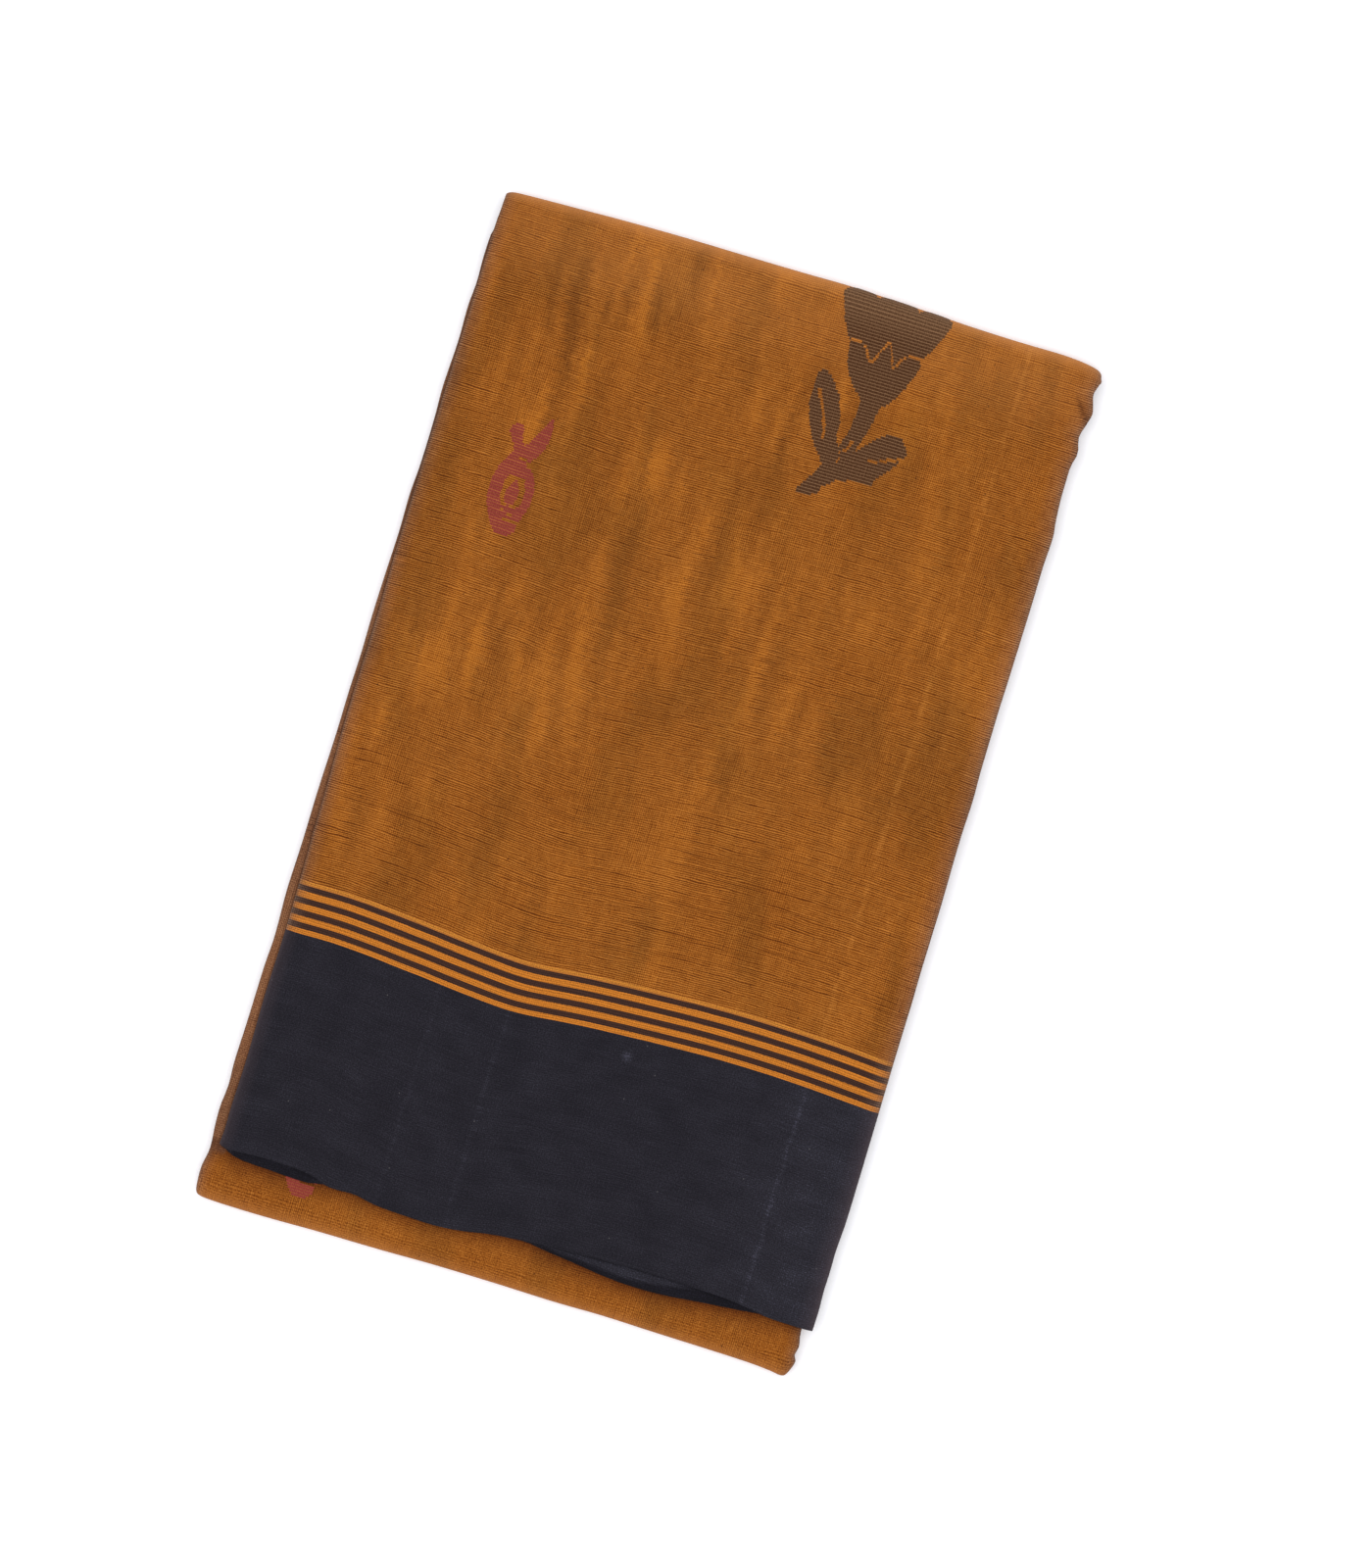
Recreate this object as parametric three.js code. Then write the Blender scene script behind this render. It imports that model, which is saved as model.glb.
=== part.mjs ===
import * as THREE from 'three';

// A cotton saree, ironed and folded flat into a packet. Millimetres, +Z up.
// The origin is under the middle of the packet, on the surface that it lies on,
// and +Y runs along the packet's length to its top fold.
// Its one woven length shows as four stretches: the flap's outer ply, the ply
// under it, the packet's own outer ply, and the edges of the layers between.

// Driving sizes: a ply's wall, the gaps between plies, the packet's half-width,
// and where the folds across the packet start at both ends.
const CLOTH = 1.0;
const GAP = 0.3;
const END_GAP = 0.9;
const HALF_WIDTH = 176.8;
const FOLD_START = 284;
const CROWN = 1.5;

// The hidden layers: their top, how many show as lips, how deep the grooves
// between the lips are, how far a lip stands out of the open left side, and how
// long the cut across each corner is.
const LAYERS_TOP = 12.2;
const LAYER_COUNT = 8;
const LAYER_GROOVE = 0.9;
const LIP_OUT = 0.5;
const LIP_VARIATION = 0.5;
const LAYER_CORNER = 12;
// The lips stand out only this far inside the turned edges above and below them,
// and this far from the folds across the packet.
const LIP_CLEARANCE = { from: 4.3, to: 5.2 };
const LIP_FADE = { from: FOLD_START - 45, to: FOLD_START - 15 };

// Heights of the outer surfaces of the stretches at the packet's edges.
const LAYERS_BOTTOM = CLOTH + GAP;
const PACKET_TOP = LAYERS_TOP + GAP + CLOTH;
const UNDER_PLY_TOP = PACKET_TOP + GAP + CLOTH;
const FLAP_TOP = UNDER_PLY_TOP + GAP + CLOTH;

// How far the flap's outer ply runs back along the underside, behind its top fold,
// and where the two plies under it end, just short of that fold.
const FLAP_TUCK = 30;
const UNDER_FOLD_END = 276;
// How far past its start a fold across the packet follows the side tables.
const FOLD_LENGTH = 8;

// How far inside the flap's outer ply the ply under it keeps, at each side.
const UNDER_PLY_INSET = { left: 0.8, right: 2.0 };

// Where the flap reaches past the packet's right side it hangs down this far,
// starting just past that side.
const OVERHANG = { drop: 1.6, start: 1, length: 5 };

// How the plies turn in at their side folds: the fold's radius, and how much
// cloth runs on straight past it.
const NO_TURN = { radius: 0, straight: 0 };
const FLAP_RIGHT_TURN = { radius: 1.65, straight: 0.8 };
const PACKET_LEFT_TURN = { radius: 2.4, straight: 1.2 };
const PACKET_RIGHT_TURN = { radius: 2.6, straight: 3.0 };

// The packet's two side folds, from the bottom fold up.
const packetSides = [
  { y: -293, left: -174.6, right: 170.4 },
  { y: -284, left: -176.6, right: 171.2 },
  { y: -277, left: -176.8, right: 170.8 },
  { y: -256, left: -175.5, right: 169.8 },
  { y: -231, left: -174.5, right: 170.6 },
  { y: -205, left: -175.6, right: 170.0 },
  { y: -180, left: -175.3, right: 170.9 },
  { y: -155, left: -174.6, right: 171.6 },
  { y: -137, left: -173.6, right: 172.4 },
  { y: -110, left: -175.4, right: 173.2 },
  { y: -67, left: -174.8, right: 174.4 },
  { y: -6, left: -175.2, right: 173.9 },
  { y: 64, left: -174.6, right: 174.0 },
  { y: 108, left: -174.3, right: 173.4 },
  { y: 172, left: -174.0, right: 173.6 },
  { y: 225, left: -173.4, right: 172.2 },
  { y: 276, left: -173.2, right: 173.4 },
  { y: 293, left: -172.4, right: 172.6 },
];

// The flap's left edge and its right-hand fold, from the hem up.
const flapSides = [
  { y: -268, left: -170.0, right: 176.8 },
  { y: -246, left: -170.0, right: 175.5 },
  { y: -216, left: -169.6, right: 175.2 },
  { y: -180, left: -170.3, right: 176.1 },
  { y: -131, left: -169.9, right: 176.4 },
  { y: -111, left: -170.4, right: 176.0 },
  { y: -86, left: -171.0, right: 175.2 },
  { y: -63, left: -171.3, right: 175.8 },
  { y: -15, left: -172.6, right: 175.1 },
  { y: 40, left: -172.4, right: 175.9 },
  { y: 75, left: -172.9, right: 174.3 },
  { y: 132, left: -173.2, right: 175.3 },
  { y: 195, left: -173.4, right: 175.1 },
  { y: 216, left: -173.3, right: 173.0 },
  { y: 236, left: -173.4, right: 173.5 },
  { y: 245, left: -173.5, right: 174.7 },
  { y: 254, left: -173.5, right: 173.2 },
  { y: 267, left: -173.6, right: 176.4 },
  { y: 278, left: -172.8, right: 174.0 },
  { y: 287, left: -172.7, right: 176.0 },
];

// The hems of the flap's two plies, from left to right.
const hems = [
  { x: -170, outer: -263.7, under: -266.5 },
  { x: -146, outer: -264.4, under: -269.6 },
  { x: -121, outer: -264.3, under: -271.1 },
  { x: -98, outer: -270.0, under: -270.0 },
  { x: -65, outer: -272.4, under: -270.6 },
  { x: -42, outer: -272.8, under: -270.4 },
  { x: -11, outer: -268.4, under: -267.0 },
  { x: 10, outer: -267.3, under: -267.6 },
  { x: 46, outer: -265.5, under: -270.4 },
  { x: 74, outer: -262.9, under: -272.8 },
  { x: 95, outer: -263.3, under: -272.3 },
  { x: 121, outer: -263.8, under: -270.5 },
  { x: 150, outer: -267.5, under: -267.8 },
  { x: 177, outer: -267.4, under: -266.4 },
];

// How high each ply's hem curls up, from left to right.
const hemCurls = [
  { x: -170, outer: 0.2, under: 0.0 },
  { x: -130, outer: 1.3, under: 0.2 },
  { x: -95, outer: 0.2, under: 0.0 },
  { x: 5, outer: 0.1, under: 0.0 },
  { x: 40, outer: 1.4, under: 0.4 },
  { x: 85, outer: 3.2, under: 0.9 },
  { x: 125, outer: 1.9, under: 0.4 },
  { x: 155, outer: 0.3, under: 0.0 },
];
const CURL_LENGTH = 55;

// How far the top and bottom folds reach, from left to right.
const endFolds = [
  { x: -176.8, top: 288.5, bottom: -287.0 },
  { x: -173.0, top: 290.5, bottom: -291.6 },
  { x: -168.0, top: 293.9, bottom: -293.4 },
  { x: -123.0, top: 295.0, bottom: -293.8 },
  { x: 0.0, top: 294.7, bottom: -293.6 },
  { x: 145.0, top: 294.1, bottom: -293.8 },
  { x: 161.0, top: 293.4, bottom: -294.4 },
  { x: 169.0, top: 292.1, bottom: -295.0 },
  { x: 173.5, top: 290.2, bottom: -292.0 },
  { x: 176.8, top: 287.4, bottom: -289.0 },
];

// The long soft troughs and ridges that run through all the upper plies: where
// each starts and ends, how far it spreads to a side, and its height.
const creases = [
  { x0: -28, y0: -284, x1: -40, y1: -10, spread: 34, height: -1.0 },
  { x0: 118, y0: -250, x1: 100, y1: -60, spread: 22, height: 0.35 },
  { x0: -95, y0: -190, x1: -88, y1: 110, spread: 30, height: 0.3 },
  { x0: 60, y0: 40, x1: 48, y1: 250, spread: 26, height: -0.45 },
  { x0: -70, y0: 150, x1: -60, y1: 262, spread: 20, height: -0.35 },
  { x0: 152, y0: 215, x1: 162, y1: 262, spread: 9, height: -0.6 },
];

// How finely the plies and the layers are divided.
const END_CLOSENESS = 0.85;
const TURN_STEPS = 3;
const FOLD_STEPS = 10;
const FLAP_ROWS = 22;
const FLAP_COLUMNS = 26;
const UNDER_PLY_ROWS = 16;
const UNDER_PLY_COLUMNS = 26;
const PACKET_COLUMNS = 24;
const LAYER_END_POINTS = 14;

function valueIn(rows, by, want, at) {
  const next = rows.findIndex((row) => row[by] > at);
  if (next === 0) return rows[0][want];
  if (next === -1) return rows[rows.length - 1][want];
  const low = rows[next - 1];
  const high = rows[next];
  return THREE.MathUtils.mapLinear(at, low[by], high[by], low[want], high[want]);
}

// A share from 0 to 1 whose even steps come out closer together at both ends.
function closerAtEnds(share) {
  return THREE.MathUtils.lerp(share, 0.5 - 0.5 * Math.cos(Math.PI * share), END_CLOSENESS);
}

function creaseHeight(crease, x, y) {
  const along = new THREE.Vector2(crease.x1 - crease.x0, crease.y1 - crease.y0);
  const from = new THREE.Vector2(x - crease.x0, y - crease.y0);
  const share = from.dot(along) / along.lengthSq();
  const away = from.addScaledVector(along, -share).length() / crease.spread;
  const fade = Math.sin(Math.PI * THREE.MathUtils.clamp(share, 0, 1));
  return crease.height * Math.exp(-away * away) * Math.sqrt(fade);
}

// How much the packet swells over its hidden layers at a point seen from above.
function swell(x, y) {
  const across = 1 - (x / HALF_WIDTH) ** 4;
  const along = 1 - Math.min(1, Math.abs(y) / FOLD_START) ** 6;
  let height = CROWN * Math.max(0, across) * along;
  for (const crease of creases) height += creaseHeight(crease, x, y) * along;
  return Math.max(0, height);
}

// How far the flap hangs down where it reaches past the packet's side fold.
function overhangDrop(x, y) {
  const side = valueIn(packetSides, 'y', 'right', y);
  const past = THREE.MathUtils.clamp((x - side - OVERHANG.start) / OVERHANG.length, 0, 1);
  return OVERHANG.drop * past * past;
}

function hemCurl(ply, x, y) {
  const fromHem = (y - valueIn(hems, 'x', ply, x)) / CURL_LENGTH;
  const share = THREE.MathUtils.clamp(1 - fromHem, 0, 1);
  return valueIn(hemCurls, 'x', ply, x) * share * share;
}

// One cross-section of a ply, from its left edge to its right one. inward is the
// depth below the ply's outer surface, and each point has a partner on the
// inner surface, one cloth thickness further in.
function crossSection(left, right, leftTurn, rightTurn, columns) {
  const points = [];
  const turn = (edge, side, { radius, straight }) => {
    const middle = edge - side * radius;
    const found = [];
    for (let step = 0; step <= TURN_STEPS; step += 1) {
      const angle = (step / TURN_STEPS) * (Math.PI / 2);
      const out = Math.sin(angle);
      const down = Math.cos(angle);
      found.push({
        x: middle + side * radius * out,
        inward: radius - radius * down,
        innerX: middle + side * (radius - CLOTH) * out,
        innerInward: radius - (radius - CLOTH) * down,
      });
    }
    found.push({
      x: edge,
      inward: radius + straight,
      innerX: edge - side * CLOTH,
      innerInward: radius + straight,
    });
    return found;
  };
  if (leftTurn.radius > 0) points.push(...turn(left, -1, leftTurn).reverse().slice(0, -1));
  const first = left + leftTurn.radius;
  const last = right - rightTurn.radius;
  for (let column = 0; column <= columns; column += 1) {
    const x = THREE.MathUtils.lerp(first, last, closerAtEnds(column / columns));
    points.push({ x, inward: 0, innerX: x, innerInward: CLOTH });
  }
  if (rightTurn.radius > 0) points.push(...turn(right, 1, rightTurn).slice(1));
  return points;
}

function geometryFrom(positions, index) {
  const geometry = new THREE.BufferGeometry();
  geometry.setAttribute('position', new THREE.Float32BufferAttribute(positions, 3));
  geometry.setIndex(index);
  geometry.computeVertexNormals();
  return geometry;
}

// A closed wall between two grids of points of the same size: rows run round the
// packet with its outside on their left hand, and columns run from -X to +X.
function wallGeometry(outer, inner) {
  const rows = outer.length;
  const columns = outer[0].length;
  const positions = [...outer.flat(), ...inner.flat()].flatMap((p) => [p.x, p.y, p.z]);
  const index = [];
  const at = (layer, row, column) => layer * rows * columns + row * columns + column;
  const quad = (a, b, c, d) => index.push(a, b, c, a, c, d);
  for (let i = 0; i + 1 < rows; i += 1) {
    for (let j = 0; j + 1 < columns; j += 1) {
      quad(at(0, i, j), at(0, i, j + 1), at(0, i + 1, j + 1), at(0, i + 1, j));
      quad(at(1, i, j), at(1, i + 1, j), at(1, i + 1, j + 1), at(1, i, j + 1));
    }
  }
  const lastRow = rows - 1;
  const lastColumn = columns - 1;
  for (let j = 0; j < lastColumn; j += 1) {
    quad(at(0, 0, j), at(1, 0, j), at(1, 0, j + 1), at(0, 0, j + 1));
    quad(at(0, lastRow, j), at(0, lastRow, j + 1), at(1, lastRow, j + 1), at(1, lastRow, j));
  }
  for (let i = 0; i < lastRow; i += 1) {
    quad(at(0, i, 0), at(0, i + 1, 0), at(1, i + 1, 0), at(1, i, 0));
    quad(at(0, i, lastColumn), at(1, i, lastColumn), at(1, i + 1, lastColumn), at(0, i + 1, lastColumn));
  }
  return geometryFrom(positions, index);
}

// A ply's wall from its rows. Each row gives its nominal y, how much of the turned
// edges' straight cloth it keeps, and place(x), the outer surface's point and
// normal there.
function plyGeometry(rows, sides, leftTurn, rightTurn, columns) {
  const outer = [];
  const inner = [];
  for (const row of rows) {
    const { left, right } = sides(row.y);
    const shorten = (turn) => ({ radius: turn.radius, straight: turn.straight * row.straightShare });
    const section = crossSection(left, right, shorten(leftTurn), shorten(rightTurn), columns);
    const put = (x, inward) => {
      const spot = row.place(x);
      return new THREE.Vector3(x, spot.y - spot.ny * inward, spot.z - spot.nz * inward);
    };
    outer.push(section.map((point) => put(point.x, point.inward)));
    inner.push(section.map((point) => put(point.innerX, point.innerInward)));
  }
  return wallGeometry(outer, inner);
}

// Rows along a flat upper stretch at shares of its length, from its lower end up.
function topRows(shares, startAt, endAt, height) {
  return shares.map((share) => {
    return {
      y: THREE.MathUtils.lerp(startAt(0), endAt, share),
      straightShare: 1,
      place: (x) => {
        const y = THREE.MathUtils.lerp(startAt(x), endAt, share);
        return { y, z: height(x, y), ny: 0, nz: 1 };
      },
    };
  });
}

// Rows round a fold across the packet. side is 1 at the top fold, where the rows
// run downwards, and -1 at the bottom fold, where they run upwards.
function foldRows(side, top) {
  const key = side > 0 ? 'top' : 'bottom';
  const half = top / 2;
  const rows = [];
  for (let step = 1; step < FOLD_STEPS; step += 1) {
    const turned = (step / FOLD_STEPS) * Math.PI;
    const out = Math.sin(turned);
    const up = side * Math.cos(turned);
    rows.push({
      y: side * (FOLD_START + out * FOLD_LENGTH),
      straightShare: 1 - out,
      place: (x) => {
        const reach = Math.abs(valueIn(endFolds, 'x', key, x)) - FOLD_START;
        const normal = new THREE.Vector2(side * (out / reach), up / half).normalize();
        const y = side * (FOLD_START + reach * out);
        return { y, z: half + half * up, ny: normal.x, nz: normal.y };
      },
    });
  }
  return rows;
}

// Rows along the flat underside, at given places along the packet.
function undersideRows(stations) {
  return stations.map((y) => {
    return { y, straightShare: 1, place: () => ({ y, z: 0, ny: 0, nz: -1 }) };
  });
}

function evenShares(count) {
  return Array.from({ length: count + 1 }, (_, step) => step / count);
}

// The places along the packet where its side folds change course, with two ends.
function stationsBetween(low, high) {
  const inside = packetSides.map((row) => row.y).filter((y) => y > low && y < high);
  return [low, ...inside, high];
}

function flapOuterPly() {
  const hem = (x) => valueIn(hems, 'x', 'outer', x);
  const height = (x, y) => FLAP_TOP + swell(x, y) + hemCurl('outer', x, y) - overhangDrop(x, y);
  const rows = [
    ...topRows(evenShares(FLAP_ROWS), hem, FOLD_START, height),
    ...foldRows(1, FLAP_TOP),
    ...undersideRows(stationsBetween(FOLD_START - FLAP_TUCK, FOLD_START).reverse()),
  ];
  const sides = (y) => ({
    left: valueIn(flapSides, 'y', 'left', y),
    right: valueIn(flapSides, 'y', 'right', y),
  });
  return plyGeometry(rows, sides, NO_TURN, FLAP_RIGHT_TURN, FLAP_COLUMNS);
}

function flapUnderPly() {
  const hem = (x) => valueIn(hems, 'x', 'under', x);
  const height = (x, y) => UNDER_PLY_TOP + swell(x, y) + hemCurl('under', x, y) - overhangDrop(x, y);
  const rows = topRows(evenShares(UNDER_PLY_ROWS), hem, UNDER_FOLD_END, height);
  const sides = (y) => ({
    left: valueIn(flapSides, 'y', 'left', y) + UNDER_PLY_INSET.left,
    right: valueIn(flapSides, 'y', 'right', y) - UNDER_PLY_INSET.right,
  });
  return plyGeometry(rows, sides, NO_TURN, NO_TURN, UNDER_PLY_COLUMNS);
}

function packetOuterPly() {
  const height = (x, y) => PACKET_TOP + swell(x, y);
  const seam = FOLD_START - FLAP_TUCK - GAP;
  const stations = stationsBetween(-FOLD_START, UNDER_FOLD_END);
  const shares = stations.map((y) => (y + FOLD_START) / (UNDER_FOLD_END + FOLD_START));
  const rows = [
    ...undersideRows(stationsBetween(-FOLD_START, seam).reverse()),
    ...foldRows(-1, PACKET_TOP),
    ...topRows(shares, () => -FOLD_START, UNDER_FOLD_END, height),
  ];
  const sides = (y) => ({
    left: valueIn(packetSides, 'y', 'left', y),
    right: valueIn(packetSides, 'y', 'right', y),
  });
  return plyGeometry(rows, sides, PACKET_LEFT_TURN, PACKET_RIGHT_TURN, PACKET_COLUMNS);
}

// How far the layers' edges lie inside the side fold at a height, so that they
// clear the plies that turn in above and below them.
function layerInset(z, turn) {
  const depth = Math.min(z, PACKET_TOP - z);
  const clear = turn.radius - CLOTH - GAP;
  const into = Math.max(0, turn.radius - depth);
  return turn.radius - Math.sqrt(Math.max(0, clear * clear - into * into));
}

// How far the layers reach towards a fold across the packet at a height.
function layerReach(key, x, z, top) {
  const half = top / 2;
  const reach = Math.abs(valueIn(endFolds, 'x', key, x)) - FOLD_START - CLOTH - END_GAP;
  const rise = Math.min(1, Math.abs(z - half) / (half - CLOTH - GAP));
  return FOLD_START + reach * Math.sqrt(1 - rise * rise);
}

// The outline of the layers at one height, counterclockwise. groove is how far
// the outline steps back between two layers, and bulge how far a layer's edge
// stands out of the packet's open left side.
function layerOutline(z, groove, bulge) {
  const depth = Math.min(z, PACKET_TOP - z);
  const clearOfTurns = THREE.MathUtils.smoothstep(depth, LIP_CLEARANCE.from, LIP_CLEARANCE.to);
  const sideX = (key, y) => {
    const side = key === 'left' ? -1 : 1;
    const turn = key === 'left' ? PACKET_LEFT_TURN : PACKET_RIGHT_TURN;
    const inset = layerInset(z, turn) + groove;
    const fromEnd = 1 - THREE.MathUtils.smoothstep(Math.abs(y), LIP_FADE.from, LIP_FADE.to);
    const out = key === 'left' ? bulge * clearOfTurns * fromEnd : 0;
    return valueIn(packetSides, 'y', key, y) + side * (out - inset);
  };
  const endY = (key, x, top) => (key === 'top' ? 1 : -1) * (layerReach(key, x, z, top) - groove);
  const sideRun = FOLD_START - LAYER_CORNER;
  const outline = [];
  const addEnd = (key, top, from, to) => {
    for (let step = 0; step <= LAYER_END_POINTS; step += 1) {
      const x = THREE.MathUtils.lerp(from, to, closerAtEnds(step / LAYER_END_POINTS));
      outline.push(new THREE.Vector3(x, endY(key, x, top), z));
    }
  };
  const addSide = (key, stations) => {
    for (const y of stations) outline.push(new THREE.Vector3(sideX(key, y), y, z));
  };
  const leftEnd = (y) => sideX('left', y) + LAYER_CORNER;
  const rightEnd = (y) => sideX('right', y) - LAYER_CORNER;
  addEnd('bottom', PACKET_TOP, leftEnd(-sideRun), rightEnd(-sideRun));
  addSide('right', stationsBetween(-sideRun, sideRun));
  addEnd('top', FLAP_TOP, rightEnd(sideRun), leftEnd(sideRun));
  addSide('left', stationsBetween(-sideRun, sideRun).reverse());
  return outline;
}

// The hidden layers as one solid: rounded lips with a groove between each two.
function foldedLayers() {
  const pitch = (LAYERS_TOP - LAYERS_BOTTOM) / LAYER_COUNT;
  const rings = [layerOutline(LAYERS_BOTTOM, 0, 0)];
  for (let layer = 0; layer < LAYER_COUNT; layer += 1) {
    const base = LAYERS_BOTTOM + layer * pitch;
    const bulge = LIP_OUT + LIP_VARIATION * Math.sin(layer * 2.4);
    if (layer > 0) rings.push(layerOutline(base, LAYER_GROOVE, 0));
    rings.push(layerOutline(base + pitch / 2, 0, bulge));
  }
  rings.push(layerOutline(LAYERS_TOP, 0, 0));
  const positions = rings.flat().flatMap((p) => [p.x, p.y, p.z]);
  const count = rings[0].length;
  const index = [];
  for (let ring = 0; ring + 1 < rings.length; ring += 1) {
    for (let k = 0; k < count; k += 1) {
      const a = ring * count + k;
      const b = ring * count + ((k + 1) % count);
      index.push(a, b, b + count, a, b + count, a + count);
    }
  }
  const lastRing = (rings.length - 1) * count;
  const capOf = (ring) => {
    const flat = ring.map((p) => new THREE.Vector2(p.x, p.y));
    return THREE.ShapeUtils.triangulateShape(flat, []);
  };
  for (const [a, b, c] of capOf(rings[0])) index.push(a, c, b);
  for (const [a, b, c] of capOf(rings[rings.length - 1])) {
    index.push(lastRing + a, lastRing + b, lastRing + c);
  }
  return geometryFrom(positions, index);
}

function cloth(color) {
  return new THREE.MeshStandardMaterial({ color, roughness: 0.9, metalness: 0 });
}

const stretches = [
  { name: 'flap_outer_ply', geometry: flapOuterPly(), color: 0xb06a20 },
  { name: 'flap_under_ply', geometry: flapUnderPly(), color: 0x2b2a31 },
  { name: 'packet_outer_ply', geometry: packetOuterPly(), color: 0xa8661e },
  { name: 'folded_layers', geometry: foldedLayers(), color: 0x8a5526 },
];

const saree = new THREE.Group();
for (const { name, geometry, color } of stretches) {
  const stretch = new THREE.Mesh(geometry, cloth(color));
  stretch.name = name;
  saree.add(stretch);
}

export default saree;
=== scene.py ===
"""A cotton saree, ironed and folded flat into a packet, on a pale floor.

Lengths in this script are in millimetres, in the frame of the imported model, up to
cloth_mesh, which turns them into Blender's metres. The cloth's own coordinates are u,
across the packet, and v, along it from the hem over the top fold. They are kept in
the UV map "cloth", in metres.
"""

import math
from bisect import bisect_right
from functools import partial

import bpy
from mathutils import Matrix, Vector, noise


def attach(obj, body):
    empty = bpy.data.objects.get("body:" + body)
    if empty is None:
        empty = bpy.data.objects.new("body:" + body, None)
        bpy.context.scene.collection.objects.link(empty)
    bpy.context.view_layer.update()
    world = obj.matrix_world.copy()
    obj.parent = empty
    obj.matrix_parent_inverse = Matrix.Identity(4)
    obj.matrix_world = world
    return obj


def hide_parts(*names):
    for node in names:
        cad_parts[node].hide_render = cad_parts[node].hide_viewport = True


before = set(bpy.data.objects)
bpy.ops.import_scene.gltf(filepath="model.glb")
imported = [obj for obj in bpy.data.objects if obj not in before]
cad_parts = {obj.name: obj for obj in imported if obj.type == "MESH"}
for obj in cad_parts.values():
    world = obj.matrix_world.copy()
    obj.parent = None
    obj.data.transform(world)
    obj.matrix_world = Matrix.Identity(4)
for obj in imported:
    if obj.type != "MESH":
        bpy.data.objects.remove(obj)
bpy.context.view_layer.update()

MM = 0.001

# Driving sizes, as in the part's source: heights of the stretches' outer faces, where
# the folds across the packet start, and how far the flap runs back underneath.
CLOTH = 0.6
FLAP_TOP = 16.1
UNDER_PLY_DEPTH = 1.3
PACKET_TOP = 13.5
LAYERS_BOTTOM = 1.3
LAYERS_TOP = 12.2
HALF_WIDTH = 176.8
FOLD_START = 284.0
CROWN = 1.5
FLAP_TUCK = 30.0
TUCK_INSET = 0.6
SEAM_GAP = 0.3
UNDER_FOLD_END = 276.0

# The packet's outer ply turns in at its sides: how round, and how far straight down.
LEFT_TURN, LEFT_DROP = 2.4, 1.2
RIGHT_TURN, RIGHT_DROP = 2.6, 3.0

# How far the relief fades out before a fold, and how the flap's edges roll down: how
# far in each roll starts, and how deep it goes.
RELIEF_FADE = 14.0
RIGHT_ROLL_START, RIGHT_ROLL = 4.5, 1.3
LEFT_ROLL_START, LEFT_ROLL = 2.2, 0.7
OVERHANG_DROP = 1.6

# How deep a pucker may be over the packet, and how much more where the flap hangs over.
PUCKER_ROOM, OVERHANG_ROOM = 0.45, 1.3

# How long the cloth is round each fold across the packet.
TOP_ARC = math.pi * 9.6
BOTTOM_ARC = math.pi * 8.3


class SmoothTable:
    """A smooth curve through a table of (place, value) pairs, level beyond its ends."""

    def __init__(self, pairs):
        self.places = [place for place, _ in pairs]
        self.values = [value for _, value in pairs]
        last = len(pairs) - 1
        self.slopes = []
        for k in range(len(pairs)):
            low, high = max(0, k - 1), min(last, k + 1)
            rise = self.values[high] - self.values[low]
            self.slopes.append(rise / (self.places[high] - self.places[low]))

    def __call__(self, at):
        if at <= self.places[0]:
            return self.values[0]
        if at >= self.places[-1]:
            return self.values[-1]
        k = bisect_right(self.places, at) - 1
        gap = self.places[k + 1] - self.places[k]
        t = (at - self.places[k]) / gap
        return (
            self.values[k] * (1 + 2 * t) * (1 - t) ** 2
            + self.slopes[k] * gap * t * (1 - t) ** 2
            + self.values[k + 1] * t * t * (3 - 2 * t)
            + self.slopes[k + 1] * gap * t * t * (t - 1)
        )


# The packet's left and right folds, as (y, x).
packet_left = SmoothTable([
    (-296, -176.2), (-290, -176.5), (-280, -176.8), (-269, -175.2), (-256, -176.2),
    (-245, -176.6), (-232, -175.6), (-219, -176.3), (-196, -176.0), (-162, -175.9),
    (-148, -175.3), (-137, -175.5), (-118, -176.3), (-92, -175.9), (-60, -176.0),
    (-28, -175.5), (0, -175.6), (20, -175.3), (44, -175.6), (70, -175.3), (92, -174.9),
    (114, -175.3), (130, -174.5), (158, -174.5), (176, -175.2), (204, -174.4),
    (224, -174.9), (238, -174.1), (250, -174.6), (265, -174.4), (269, -173.6),
    (284, -173.4), (293, -172.6),
])
packet_right = SmoothTable([
    (-296, 169.4), (-288, 172.8), (-284, 171.3), (-279, 172.3), (-272, 171.0),
    (-256, 170.4), (-231, 170.6), (-205, 170.0), (-180, 170.9), (-155, 171.6),
    (-137, 172.4), (-110, 173.2), (-67, 174.4), (-40, 173.3), (-6, 173.9), (30, 173.3),
    (64, 174.0), (108, 173.4), (172, 173.6), (225, 172.2), (276, 173.4), (293, 172.6),
])

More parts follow.
